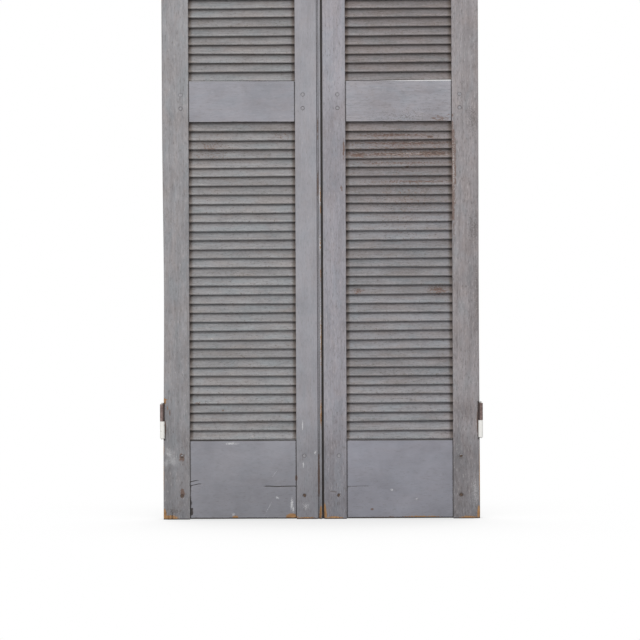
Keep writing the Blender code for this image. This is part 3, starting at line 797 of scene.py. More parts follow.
def hinge_gains(leaf):
    """Recesses for the hinge plates in the hinge stile's outer edge, with dirt round them."""

    def shape(points, skin):
        floor = leaf.arch_radius - (PLATE_THICKNESS - PLATE_PROUD)
        for low, high in leaf.plates():
            cut = (points[:, 2] > low) & (points[:, 2] < high)
            cut &= (points[:, 1] < leaf.plate_back) & (np.abs(points[:, 0]) > floor)
            points[cut, 0] = leaf.side * floor
            skin.dirt[cut] = 1.0
            beside = (points[:, 2] > low - GAIN_DIRT_BELOW) & (points[:, 2] < high + GAIN_DIRT_REACH)
            beside &= points[:, 1] < leaf.front + GAIN_DIRT_REACH
            beside &= np.abs(points[:, 0]) > floor - GAIN_DIRT_REACH
            skin.dirt[beside] = np.maximum(skin.dirt[beside], GAIN_DIRT)

    return shape


def broken_corner(leaf, x, tear, seed):
    """A corner of a foot that has split away, leaving bare, torn wood."""

    def shape(points, skin):
        reach = np.hypot((points[:, 0] - x) / tear.half_width, points[:, 2] / tear.half_height)
        reach += TEAR_RAGGEDNESS * lattice_noise(points, TEAR_CELL, seed)
        share = 1.0 - smooth_step(TEAR_START, 1.0, reach)
        fibres = lattice_noise(points, FIBRE_CELL, seed + 1)
        fall = tear.depth * share * (TEAR_EVENNESS + FIBRE_SHARE * fibres)
        from_front = np.clip(points[:, 1] - leaf.front, 0.0, None)
        points[:, 1] += np.clip(fall - from_front, 0.0, None)
        skin.wear = np.maximum(skin.wear, TEAR_WEAR * share)

    return shape


def opened(leaf, points, skin, away, share, wear, full_dirt):
    """Opens a crack in a front where its middle is near, and fills it with dirt."""
    near = np.clip(1.0 - np.abs(away) / wear.crack_width, 0.0, 1.0)
    near = near * share * (points[:, 1] < leaf.front + FACE_REACH)
    points[:, 1] += wear.crack_depth * near
    skin.dirt = np.maximum(skin.dirt, smooth_step(0.0, full_dirt, near))


def rail_crack(leaf, crack, wear, seed):
    """A split along a rail's face that climbs, wanders a little and closes at its ends."""

    def shape(points, skin):
        along = np.abs(points[:, 0])
        away = points[:, 2] - crack.height
        begun = smooth_step(crack.start - CRACK_START, crack.start, along)
        ended = smooth_step(crack.end, crack.end + CRACK_END, along)
        share = crack.opening * begun * (1.0 - ended)
        opened(leaf, points, skin, away, share, wear, CRACK_FULL_DIRT)
        beside = np.exp(-((away / CRACK_BESIDE) ** 2))
        climb = crack.rise * np.clip(crack.end - along, 0.0, crack.end - crack.start)
        climb = climb * smooth_step(crack.start - CRACK_CLIMB_START, crack.start, along)
        wander = CRACK_WANDER * lattice_noise(on_line(points[:, 0]), CRACK_CELL, seed)
        points[:, 2] += beside * (climb + wander)

    return shape


def foot_split(leaf, x, wear):
    """A split that runs up from a stile's foot and closes."""

    def shape(points, skin):
        share = np.clip(1.0 - points[:, 2] / FOOT_SPLIT_HEIGHT, 0.0, 1.0)
        opened(leaf, points, skin, points[:, 0] - x, share, wear, FOOT_SPLIT_FULL_DIRT)

    return shape


def torn_shoulder(end, inward, seed):
    """A rail's shoulder that has crumbled back from the stile, up to a height."""

    def shape(points, skin):
        depth = (points[:, 0] - end) * inward
        beside = 1.0 - smooth_step(0.0, SHOULDER_REACH, np.clip(depth, 0.0, None))
        low = 1.0 - smooth_step(SHOULDER_FADE * SHOULDER_HEIGHT, SHOULDER_HEIGHT, points[:, 2])
        ragged = SHOULDER_EVENNESS + SPLINTER_SHARE * lattice_noise(points, SPLINTER_CELL, seed)
        ragged += BREAK_SHARE * lattice_noise(points, BREAK_CELL, seed + 1)
        shown = (depth >= 0.0) & (depth < SHOULDER_REACH)
        shift = SHOULDER_LOSS * beside * low * np.clip(ragged, 0.0, None) * shown
        points[:, 0] += inward * shift
        skin.dirt = np.maximum(skin.dirt, smooth_step(*SHOULDER_DIRT, shift / SHOULDER_LOSS))

    return shape


# Nodes


class Value:
    """A socket that takes part in arithmetic; each operation adds one Math node to its graph."""

    def __init__(self, graph, socket):
        self.graph = graph
        self.socket = socket

    def math(self, operation, *operands):
        return self.graph.value("ShaderNodeMath", {"operation": operation}, dict(enumerate(operands)))

    def __add__(self, other):
        return self.math("ADD", self, other)

    __radd__ = __add__

    def __sub__(self, other):
        return self.math("SUBTRACT", self, other)

    def __rsub__(self, other):
        return self.math("SUBTRACT", other, self)

    def __mul__(self, other):
        return self.math("MULTIPLY", self, other)

    __rmul__ = __mul__

    def __truediv__(self, other):
        return self.math("DIVIDE", self, other)

    def __abs__(self):
        return self.math("ABSOLUTE", self)

    def largest(self, other):
        return self.math("MAXIMUM", self, other)

    def smallest(self, other):
        return self.math("MINIMUM", self, other)

    def root(self):
        return self.math("SQRT", self)


class Graph:
    """A node tree being built, for a material, the world or a geometry modifier."""

    def __init__(self, tree):
        self.tree = tree
        tree.nodes.clear()

    def node(self, kind, settings=None, sockets=None):
        """Adds a node: its settings first, then the values or links of its sockets."""
        made = self.tree.nodes.new(kind)
        for name, setting in (settings or {}).items():
            setattr(made, name, setting)
        for key, value in (sockets or {}).items():
            if isinstance(value, Value):
                self.tree.links.new(value.socket, made.inputs[key])
            else:
                made.inputs[key].default_value = value
        return made

    def value(self, kind, settings=None, sockets=None, output=0):
        return Value(self, self.node(kind, settings, sockets).outputs[output])

    def attribute(self, name, output="Fac"):
        return self.value("ShaderNodeAttribute", {"attribute_name": name}, output=output)

    def place(self):
        return self.value("ShaderNodeTexCoord", output="Object")

    def parts(self, vector):
        node = self.node("ShaderNodeSeparateXYZ", sockets={0: vector})
        return [Value(self, output) for output in node.outputs]

    def joined(self, x, y, z):
        return self.value("ShaderNodeCombineXYZ", sockets={0: x, 1: y, 2: z})

    def vector(self, operation, first, second, output=0):
        sockets = {0: first, 1: second}
        return self.value("ShaderNodeVectorMath", {"operation": operation}, sockets, output)

    def stretched(self, place, *shares):
        """A place whose parts count for the given shares; a small one draws a noise out."""
        return self.vector("MULTIPLY", place, shares)

    def noise(self, place, scale, detail=2.0, roughness=0.5, warp=0.0):
        sockets = {"Vector": place, "Scale": scale, "Detail": detail}
        sockets.update({"Roughness": roughness, "Distortion": warp})
        return self.value("ShaderNodeTexNoise", {"noise_dimensions": "3D"}, sockets)

    def ramp(self, value, low, high, start=0.0, end=1.0):
        settings = {"interpolation_type": "SMOOTHSTEP", "clamp": True}
        sockets = dict(enumerate((value, low, high, start, end)))
        return self.value("ShaderNodeMapRange", settings, sockets)

    def blend(self, share, first, second, mode="MIX"):
        """Mixes two colours; either may be a colour's three numbers."""
        sockets = {0: share}
        for key, colour in ((6, first), (7, second)):
            sockets[key] = colour if isinstance(colour, Value) else (*colour, 1.0)
        settings = {"data_type": "RGBA", "blend_type": mode, "clamp_factor": True}
        return self.value("ShaderNodeMix", settings, sockets, 2)

    def layered(self, colour, *layers):
        """A colour under layers that are each a share and a colour, the last one on top."""
        for share, covering in layers:
            colour = self.blend(share, colour, covering)
        return colour

    def bump(self, height, strength, distance):
        sockets = {"Strength": strength, "Distance": distance, "Height": height}
        return self.value("ShaderNodeBump", None, sockets)


def new_material(name):
    material = bpy.data.materials.new(name)
    material.use_nodes = True
    return material, Graph(material.node_tree)


def surface(graph, colour, roughness, normal, metallic=0.0, specular=0.4):
    sockets = {"Base Color": colour, "Roughness": roughness, "Normal": normal}
    sockets.update({"Metallic": metallic, "Specular IOR Level": specular})
    shader = graph.value("ShaderNodeBsdfPrincipled", None, sockets)
    graph.node("ShaderNodeOutputMaterial", None, {"Surface": shader})


def mark_reach(graph, place, marks):
    """How far inside one of the marks a point lies: its strength in the middle, 0 at the rim."""
    reach = None
    for spot in marks.values():
        sockets = {
            "Vector": place,
            "Location": (spot.x, 0.0, spot.z),
            "Rotation": (0.0, spot.lean, 0.0),
            "Scale": (spot.half_width, MARK_DEPTH, spot.half_height),
        }
        scaled = graph.value("ShaderNodeMapping", {"vector_type": "TEXTURE"}, sockets)
        far = graph.vector("LENGTH", scaled, (0.0, 0.0, 0.0), "Value")
        inside = (1.0 - far.smallest(1.0)) * spot.strength
        reach = inside if reach is None else reach.largest(inside)
    return reach


def bare_wood(graph, grain, paint):
    """Weathered softwood where the paint has gone."""
    rings = graph.noise(graph.stretched(grain, 1.0, 1.0, 0.06), 420.0, 4.0, 0.6)
    return graph.blend(graph.ramp(rings, 0.3, 0.7), paint.bare_wood_dark, paint.bare_wood)


def marked(graph, place, leaf, kind, rag, low, high):
    """Where a kind of mark covers a leaf's front, broken up by a noise."""
    depth = graph.parts(place)[1] - leaf.front
    front = graph.ramp(depth, MARK_FADE_START, MARK_FADE_END, 1.0, 0.0)
    reach = mark_reach(graph, place, MARKS[leaf.name, kind]) * front
    return graph.ramp(reach + (rag - 0.5) * graph.ramp(reach, 0.0, MARK_RIM), low, high)


def hued(graph, colour, hues, share, paint):
    """A colour with cooler and warmer patches, from one noise."""
    for end, tint in ((0.64, paint.hue_cool), (0.36, paint.hue_warm)):
        colour = graph.blend(graph.ramp(hues, 0.5, end) * share, colour, tint, "MULTIPLY")
    return colour


def board_paint(leaf, settings):
    """Old grey paint on a board: blotched, streaked along the grain and gone from the arrises, with dirt
    in its joints and cracks and painted shade in the quirk, under the lowest slat and along its feet.
    """
    paint = settings.paint
    material, graph = new_material(f"{leaf.name}_board_paint")
    grain = graph.attribute("grain", "Vector")
    wear = graph.attribute("wear")
    age = graph.attribute("age")
    place = graph.place()
    height = graph.parts(place)[2]
    long_grain = graph.stretched(grain, 1.0, 1.0, 0.05)
    short_grain = graph.stretched(grain, 1.0, 1.0, 0.4)
    brush = graph.noise(long_grain, 300.0, 4.0, 0.6)
    streaks = graph.noise(long_grain, 62.0, 4.0, 0.6, 0.4)
    clouds = graph.noise(place, 7.0, 5.0, 0.6)
    hues = graph.noise(short_grain, 30.0, 5.0, 0.65, 0.5)
    smudge = graph.noise(short_grain, 34.0, 6.0, 0.7, 0.5)
    specks = graph.noise(graph.stretched(grain, 1.0, 1.0, 0.26), 300.0, 4.0, 0.7)
    rag = graph.noise(place, 260.0, 5.0, 0.75)
    chips = graph.noise(short_grain, 150.0, 5.0, 0.75)
    scratches = graph.noise(place, 420.0, 5.0, 0.8)

    shade = clouds * 0.35 + smudge * 0.2 + (brush * 0.25 + streaks * 0.25 - 0.25) * age + 0.225
    shade = (shade - 0.5) * (age * 0.45 + 0.9) + 0.5
    colour = graph.blend(graph.ramp(shade, 0.34, 0.66), paint.paint_dark, paint.paint_light)
    hue_share = age.smallest(1.0) * 0.6 + 0.2
    colour = hued(graph, colour, hues, hue_share, paint)
    colour = graph.blend(1.0, colour, graph.attribute("tint", "Vector"), "MULTIPLY")
    smudged = graph.ramp(smudge, 0.54, 0.78, 0.0, paint.dirt) * age
    foot = graph.ramp(height + (clouds - 0.5) * 0.2, *FOOT_HEIGHTS, paint.foot_dirt, 0.0)
    colour = graph.layered(
        colour,
        (smudged, paint.dirt_colour),
        (foot * (age * 0.25 + 0.8), paint.foot_colour),
        (graph.ramp(specks, 0.52, 0.72) * (age + foot) * 0.65, paint.dirt_colour),
        (graph.ramp(specks, 0.45, 0.28) * age * 0.4, paint.pale_colour),
    )
    hazed = marked(graph, place, leaf, "haze", rag, 0.1, 1.0)
    stained = marked(graph, place, leaf, "dirt", rag * 1.5 - 0.25, 0.34, 0.44)
    scuffed = marked(graph, place, leaf, "scuff", chips, 0.28, 0.38)
    chalked = marked(graph, place, leaf, "chalk", scratches * 1.7 - 0.35, 0.3, 0.7)
    worn = wear * settings.wear.bare + (rag - 0.5) * 1.3 + (streaks - 0.5) * 0.5
    bare = marked(graph, place, leaf, "bare", rag, 0.22, 0.34)
    # The dirt attribute: dark joints and cracks, and painted shade in the quirk, under the lowest slat
    # and along the feet
    soiled = graph.ramp(graph.attribute("dirt") + (rag - 0.5) * 0.7, 0.15, 0.75)
    colour = graph.layered(
        colour,
        (hazed * 0.55, paint.chalk_colour),
        (stained * 0.7, paint.dirt_colour),
        (scuffed * 0.9, paint.scuff_colour),
        (chalked * 0.75, paint.chalk_colour),
        (graph.ramp(worn, 0.25, 0.6, 0.0, 0.3), paint.pale_colour),
        (graph.ramp(worn, 0.5, 0.62, 0.0, 0.8), paint.scuff_colour),
        (bare, bare_wood(graph, grain, paint)),
        (soiled, paint.joint_colour),
    )
    roughness = graph.ramp(brush + smudged + bare, 0.3, 1.3, 0.52, 0.85)
    relief = (brush * 0.3 + streaks * 0.2) * age + specks * 0.25 + rag * 0.25 - bare * 0.7
    surface(graph, colour, roughness, graph.bump(relief, 0.45, 0.5 * MM))
    return material


def slat_paint(leaf, settings):
    """The slats' paint: a tone of its own for each, chipped, with grime and painted shade at the ends
    and at the back, and painted shade towards the noses.
    """
    paint = settings.paint
    slats = settings.slats
    material, graph = new_material(f"{leaf.name}_slat_paint")
    place = graph.place()
    tone = graph.attribute("tone")
    across = graph.attribute("across")
    x, _, height = graph.parts(place)
    moved = graph.vector("ADD", place, graph.joined(tone * 7.0, tone * 3.0, 0.0))
    long_grain = graph.stretched(moved, 0.06, 1.0, 1.0)
    short_grain = graph.stretched(moved, 0.4, 1.0, 1.0)
    brush = graph.noise(long_grain, 260.0, 4.0, 0.6)
    clouds = graph.noise(short_grain, 28.0, 5.0, 0.65)
    hues = graph.noise(short_grain, 22.0, 5.0, 0.65, 0.4)
    specks = graph.noise(short_grain, 320.0, 4.0, 0.7)
    drips = graph.noise(graph.stretched(place, 1.0, 0.25, 0.25), 95.0, 4.0, 0.6)
    rag = graph.noise(place, 300.0, 4.0, 0.75)
    patches = graph.noise(graph.stretched(place, 0.7, 1.0, 1.0), 270.0, 5.0, 0.75)

    shade = brush * 0.5 + clouds * 0.5 + drips * 0.25 + tone * 0.13 - 0.19
    light = of_leaf(paint, "slat_light", leaf)
    dark = of_leaf(paint, "slat_dark", leaf)
    colour = graph.blend(graph.ramp(shade, 0.34, 0.66), dark, light)
    colour = hued(graph, colour, hues, 1.0, paint)
    hand_height = graph.ramp(height + (clouds - 0.5) * 0.2, *HAND_HEIGHTS)
    handled = hand_height * of_leaf(paint, "browning", leaf)
    colour = graph.blend(handled, colour, paint.handled_colour, "MULTIPLY")
    colour = graph.layered(
        colour,
        (graph.ramp(specks, 0.53, 0.68) * 0.7, paint.grime_colour),
        (graph.ramp(specks, 0.46, 0.3) * 0.6, paint.pale_colour),
    )
    # Painted shade: darkens the front half of each slat, most at its nose
    rubbed = graph.ramp(across, 0.0, -0.85, 0.0, slats.nose_wear)
    colour = graph.blend(rubbed, colour, paint.nose_colour, "MULTIPLY")
    # Painted shade with grime at the slats' ends, where they run into the frame
    reach = abs(x)
    inner = abs(leaf.panel_inner)
    outer_end = graph.ramp(reach, leaf.opening_radius - SLAT_END_SHADE_AND_GRIME, leaf.opening_radius)
    inner_end = graph.ramp(reach, inner, inner + SLAT_END_SHADE_AND_GRIME, 1.0, 0.0)
    ends = graph.ramp(outer_end.largest(inner_end) + (rag - 0.5) * 0.9, 0.22, 0.95, 0.0, 0.85)
    stained = graph.ramp(drips + (rag - 0.5) * 0.6, 0.62, 0.8, 0.0, 0.35)
    scuff_reach = mark_reach(graph, place, SLAT_MARKS[leaf.name, "scuff"])
    scuffed = graph.ramp(scuff_reach * 0.5 + patches, 0.68, 0.73, 0.0, 0.9)
    pitted = graph.ramp(scuff_reach * 0.4 + specks, 0.7, 0.75, 0.0, 0.9)
    chalk_reach = mark_reach(graph, place, SLAT_MARKS[leaf.name, "chalk"])
    chalked = graph.ramp(chalk_reach * 0.5 - specks, -0.23, -0.13, 0.0, 0.8)
    chips = graph.ramp(across, -0.75, -0.95) * graph.ramp(rag + (drips - 0.5) * 0.4, 0.56, 0.64)
    # Painted shade with grime: darker towards each slat's back, under the next slat's nose, and more of
    # it at hand height
    grime_and_shade = graph.ramp(across + (rag - 0.5) * 0.5, slats.grime_start, 0.7)
    grime_and_shade = grime_and_shade * (hand_height * slats.hand_grime + slats.grime)
    colour = graph.layered(
        colour,
        (ends, paint.grime_colour),
        (stained, paint.scuff_colour),
        (scuffed, paint.chip_colour),
        (pitted, paint.grime_colour),
        (chalked, paint.fleck_colour),
        (chips * 0.75, paint.grime_colour),
        (grime_and_shade, paint.grime_colour),
    )
    roughness = graph.ramp(brush + grime_and_shade, 0.3, 1.2, 0.55, 0.85)
    surface(graph, colour, roughness, graph.bump(brush * 0.4 + rag * 0.5, 0.45, 0.4 * MM))
    return material


def peg_wood(leaf, settings):
    """Hard pegs gone dark, most of them still under a skin of paint."""
    paint = settings.paint
    material, graph = new_material(f"{leaf.name}_peg_wood")
    place = graph.place()
    rag = graph.noise(place, 420.0, 4.0, 0.65)
    fibre = graph.noise(graph.stretched(place, 1.0, 0.1, 1.0), 900.0, 3.0, 0.6)
    wood = graph.blend(graph.ramp(fibre, 0.35, 0.65), paint.peg_dark, paint.peg_colour)
    skin = graph.blend(graph.ramp(rag, 0.35, 0.65), paint.paint_dark, paint.paint_light)
    reach = mark_reach(graph, place, MARKS[leaf.name, "peg"])
    bare = graph.ramp(reach + (rag - 0.5) * 0.8, 0.18, 0.4)
    colour = graph.blend(bare, skin, wood)
    roughness = graph.ramp(rag, 0.3, 0.7, 0.6, 0.85)
    surface(graph, colour, roughness, graph.bump(fibre + rag, 0.4, 0.3 * MM))
    return material


def rusted_iron(name, coat, iron):
    """Plates and knuckles under a brown skin of rust, with dark pits, a share of old paint, and painted
    shade beside the door's edge and on the knuckle's outer part.
    """
    material, graph = new_material(name)
    place = graph.place()
    bloom = graph.noise(place, 110.0, 6.0, 0.65)
    pits = graph.noise(place, 480.0, 4.0, 0.6)
    patches = graph.noise(place, 90.0, 6.0, 0.7)
    colour = graph.blend(graph.ramp(bloom, 0.35, 0.65), iron.rust_dark, iron.rust_light)
    coated = graph.ramp(patches + coat.share - 0.5, 0.46, 0.56)
    # Painted shade, with rust, beside the door's edge and on the knuckle's outer part
    outside = abs(graph.parts(place)[0]) - LEAVES[0].arch_radius
    seat = graph.ramp(outside, *SEAT_RUST_AND_SHADE, 1.0, 0.0)
    rim = graph.ramp(outside, *RIM_SHADE)
    shadow = seat.largest(rim * 0.7) + (pits - 0.5) * 0.5
    colour = graph.layered(
        colour,
        (graph.ramp(pits, 0.56, 0.74, 0.0, 0.6), iron.pit_colour),
        (coated, coat.colour),
        (graph.ramp(shadow, 0.1, 0.9, 0.0, coat.edge_dirt), iron.pit_colour),
    )
    metallic = graph.ramp(bloom, 0.2, 0.45, 0.3, 0.0)
    roughness = graph.ramp(pits, 0.3, 0.7, 0.6, 0.9)
    relief = bloom * 0.5 - pits * 0.6 + coated * 0.3
    surface(graph, colour, roughness, graph.bump(relief, 0.6, 0.4 * MM), metallic, 0.3)
    return material


def finish_board(leaf, node, board, place, shapers, settings, name=None):
    """Makes a board's piece and ties it to its leaf and to the node that it stands for."""
    paint = bpy.data.materials.get(f"{leaf.name}_board_paint") or board_paint(leaf, settings)
    look = LOOKS[f"{leaf.name}_{node}"]
    piece = board.piece(f"{leaf.name}_{name or node}_board", paint, place, shapers, look)
    hand_over(piece, leaf.body, SLOT_PAINT, f"{leaf.name}_{node}")


# Geometry nodes


class Tree:
    """A tree of geometry nodes with an input for each given value, and the plain meshes made from it."""

    KINDS = {float: "NodeSocketFloat", int: "NodeSocketInt", bpy.types.Material: "NodeSocketMaterial"}

    def __init__(self, name, inputs):
        self.group = bpy.data.node_groups.new(name, "GeometryNodeTree")
        self.graph = Graph(self.group)
        self.identifiers = {}
        sockets = self.group.interface
        for way in ("INPUT", "OUTPUT"):
            sockets.new_socket("Geometry", in_out=way, socket_type="NodeSocketGeometry")
        for key, value in inputs.items():
            kind = self.KINDS[type(value)]
            self.identifiers[key] = sockets.new_socket(key, in_out="INPUT", socket_type=kind).identifier
        source = self.graph.node("NodeGroupInput")
        self.inputs = {output.name: Value(self.graph, output) for output in source.outputs}
        self.position = self.graph.value("GeometryNodeInputPosition")

    def random(self, low, high, seed):
        """A random number for each element, from the seed."""
        sockets = {2: low, 3: high, 8: seed}
        return self.graph.value("FunctionNodeRandomValue", {"data_type": "FLOAT"}, sockets, 1)

    def kept(self, geometry, name, value, domain):
        settings = {"data_type": "FLOAT", "domain": domain}
        sockets = {"Geometry": geometry, "Name": name, "Value": value}
        return self.graph.value("GeometryNodeStoreNamedAttribute", settings, sockets)

    def moved(self, geometry, offset):
        sockets = {"Geometry": geometry, "Offset": offset}
        return self.graph.value("GeometryNodeSetPosition", None, sockets)

    def realized(self, instances):
        return self.graph.value("GeometryNodeRealizeInstances", None, {0: instances})

    def end(self, geometry):
        """Gives the geometry its finish and hands it on."""
        sockets = {"Geometry": geometry, "Material": self.inputs["Finish"]}
        finished = self.graph.value("GeometryNodeSetMaterial", None, sockets)
        self.graph.node("NodeGroupOutput", None, {0: finished})

    def grow(self, name, points, inputs, body, slot, *nodes):
        """Runs the tree on the points and hands over what it makes as one piece."""
        piece = new_piece(name, self.mesh(name, points, inputs), inputs["Finish"])
        hand_over(piece, body, slot, *nodes)

    def mesh(self, name, points, inputs):
        """Runs the tree once on the given points and returns what it makes as a plain mesh."""
        base = bpy.data.meshes.new(f"{name}_points")
        base.from_pydata(points, [], [])
        holder = bpy.data.objects.new(f"{name}_holder", base)
        bpy.context.scene.collection.objects.link(holder)
        modifier = holder.modifiers.new("tree", "NODES")
        modifier.node_group = self.group
        for key, setting in inputs.items():
            modifier[self.identifiers[key]] = setting
        graph = bpy.context.evaluated_depsgraph_get()
        made = bpy.data.meshes.new_from_object(
            holder.evaluated_get(graph), preserve_all_data_layers=True, depsgraph=graph
        )
        made.name = name
        bpy.data.objects.remove(holder, do_unlink=True)
        bpy.data.meshes.remove(base)
        face_outwards(made)
        return made


def slat_tree(inputs):
    """Slats at a regular pitch up two panels, the upper ones cut short by the arch."""
    tree = Tree("slats", inputs)
    graph = tree.graph
    given = tree.inputs
    seed = given["Seed"]
    wander = given["Wander"]
    x, y, z = graph.parts(tree.position)
    step = graph.joined(0.0, 0.0, given["Pitch"])
    lines = graph.node("GeometryNodeJoinGeometry")
    for panel in ("Lower", "Upper"):
        base = graph.joined(0.0, 0.0, given[f"{panel} Base"])
        sockets = {"Count": given[f"{panel} Slats"], "Start Location": base, "Offset": step}
        line = graph.value("GeometryNodeMeshLine", {"mode": "OFFSET"}, sockets)
        graph.tree.links.new(line.socket, lines.inputs[0])
    opening = given["Opening Radius"]
    rise = (z - given["Spring Height"] - given["Half Rise"]).largest(0.0)
    reach = (opening * opening - rise * rise).root() + given["Run In"]
    start = given["Inner End"] - given["Run In"]
    drift = tree.random(wander * -0.5, wander * 0.5, seed)
    middle = graph.joined(given["Side"] * (reach + start) / 2.0, given["Middle Depth"], drift)
    points = tree.moved(Value(graph, lines.outputs[0]), middle)

    width = given["Width"]
    sockets = {0: width, 1: given["Thickness"]}
    outline = graph.value("GeometryNodeCurvePrimitiveQuadrilateral", {"mode": "RECTANGLE"}, sockets)
    sockets = {"Curve": outline, "Count": NOSE_STEPS, "Radius": given["Nose Ease"], "Limit Radius": True}
    outline = graph.value("GeometryNodeFilletCurve", {"mode": "POLY"}, sockets)
    sockets = {0: (-0.5, 0.0, 0.0), 1: (0.5, 0.0, 0.0)}
    run = graph.value("GeometryNodeCurvePrimitiveLine", None, sockets)
    sockets = {"Curve": run, "Count": SLAT_STEPS}
    run = graph.value("GeometryNodeResampleCurve", {"mode": "COUNT"}, sockets)
    sockets = {"Curve": run, "Profile Curve": outline, "Fill Caps": True}
    slat = graph.value("GeometryNodeCurveToMesh", None, sockets)
    slat = tree.kept(slat, "across", y / width * 2.0, "POINT")
    slope = given["Slope"] + tree.random(given["Tilt"] * -1.0, given["Tilt"], seed + 1)
    lean = tree.random(given["Lean"] * -1.0, given["Lean"], seed + 3) - given["Climb"]
    sockets = {
        "Points": points,
        "Instance": slat,
        "Rotation": graph.joined(slope, lean, 0.0),
        "Scale": graph.joined((abs(x) - start) * 2.0, 1.0, 1.0),
    }
    slats = graph.value("GeometryNodeInstanceOnPoints", None, sockets)
    slats = tree.realized(tree.kept(slats, "tone", tree.random(0.0, 1.0, seed + 2), "INSTANCE"))
    bend = graph.noise(graph.stretched(tree.position, *BEND_SHARES), BEND_SCALE, 1.0) - 0.5
    tree.end(tree.moved(slats, graph.joined(0.0, 0.0, bend * wander)))
    return tree


def peg_tree(inputs):
    """Pegs with chamfered ends at the given points, each turned and sized a little differently."""
    tree = Tree("pegs", inputs)
    graph = tree.graph
    given = tree.inputs
    diameter, length, chamfer, seed = (given[key] for key in ("Diameter", "Length", "Chamfer", "Seed"))
    sockets = {"Vertices": PEG_SIDES, "Side Segments": PEG_RINGS}
    sockets.update({"Radius": diameter / 2.0, "Depth": length})
    peg = graph.value("GeometryNodeMeshCylinder", None, sockets)
    x, y, z = graph.parts(tree.position)
    share = abs(z) / length
    at_end = share.math("GREATER_THAN", share, PEG_END)
    shrink = at_end * chamfer / diameter * -2.0
    stretch = (1.0 - at_end) * (length - chamfer * 2.0) / (length / float(PEG_RINGS)) - (1.0 - at_end)
    peg = tree.moved(peg, graph.joined(x * shrink, y * shrink, z * stretch))
    size = tree.random(*PEG_SIZES, seed + 1)
    sockets = {
        "Points": given["Geometry"],
        "Instance": peg,
        "Rotation": graph.joined(math.pi / 2, tree.random(0.0, 2.0 * math.pi, seed), 0.0),
        "Scale": graph.joined(size, size * tree.random(*PEG_SHAPES, seed + 2), 1.0),
    }
    tree.end(tree.realized(graph.value("GeometryNodeInstanceOnPoints", None, sockets)))
    return tree


def screw_tree(inputs):
    """Countersunk wood screws with slotted heads, each turned to a different stop."""
    tree = Tree("screws", inputs)
    graph = tree.graph
    given = tree.inputs
    diameter = given["Head Diameter"]
    depth = given["Head Depth"]
    sockets = {"Vertices": SCREW_SIDES, "Depth": depth}
    sockets.update({"Radius Top": diameter / 2.0, "Radius Bottom": diameter / 4.0})
    head = graph.value("GeometryNodeMeshCone", None, sockets)
    size = graph.joined(diameter * SLOT_OVERRUN, given["Slot Width"], given["Slot Depth"] * 2.0)
    slot = graph.value("GeometryNodeMeshCube", None, {"Size": size})
    sockets = {"Geometry": slot, "Translation": graph.joined(0.0, 0.0, depth)}
    slot = graph.value("GeometryNodeTransform", None, sockets)
    head = graph.value("GeometryNodeMeshBoolean", {"operation": "DIFFERENCE"}, {0: head, 1: slot})
    x = graph.parts(tree.position)[0]
    towards_middle = x.math("SIGN", abs(x) - given["Middle"]) * x.math("SIGN", x)
    sockets = {
        "Points": given["Geometry"],
        "Instance": head,
        "Rotation": graph.joined(0.0, towards_middle * (-math.pi / 2), 0.0),
    }
    screws = graph.value("GeometryNodeInstanceOnPoints", None, sockets)
    twist = graph.joined(0.0, 0.0, tree.random(0.0, math.pi, given["Seed"]))
    sockets = {"Instances": screws, "Rotation": twist, "Local Space": True}
    tree.end(tree.realized(graph.value("GeometryNodeRotateInstances", None, sockets)))
    return tree


# Settings


def number_setting(name, description, default, **kind):
    return bpy.props.FloatProperty(name=name, description=description, default=default, **kind)


def length_setting(name, description, default):
    return number_setting(name, description, default, unit="LENGTH", subtype="DISTANCE", precision=5)


def angle_setting(name, description, degrees):
    return number_setting(name, description, math.radians(degrees), subtype="ANGLE")


def share_setting(name, description, default):
    return number_setting(name, description, default, subtype="FACTOR")


def colour_setting(name, description, default):
    return bpy.props.FloatVectorProperty(
        name=name, description=description, default=default, subtype="COLOR", size=3, min=0.0, max=1.0
    )


def group_setting(group, name, description):
    return bpy.props.PointerProperty(type=group, name=name, description=description)


def of_leaf(settings, name, leaf):
    """A setting of which each leaf has its own."""
    return getattr(settings, f"{name}_{leaf.name}")


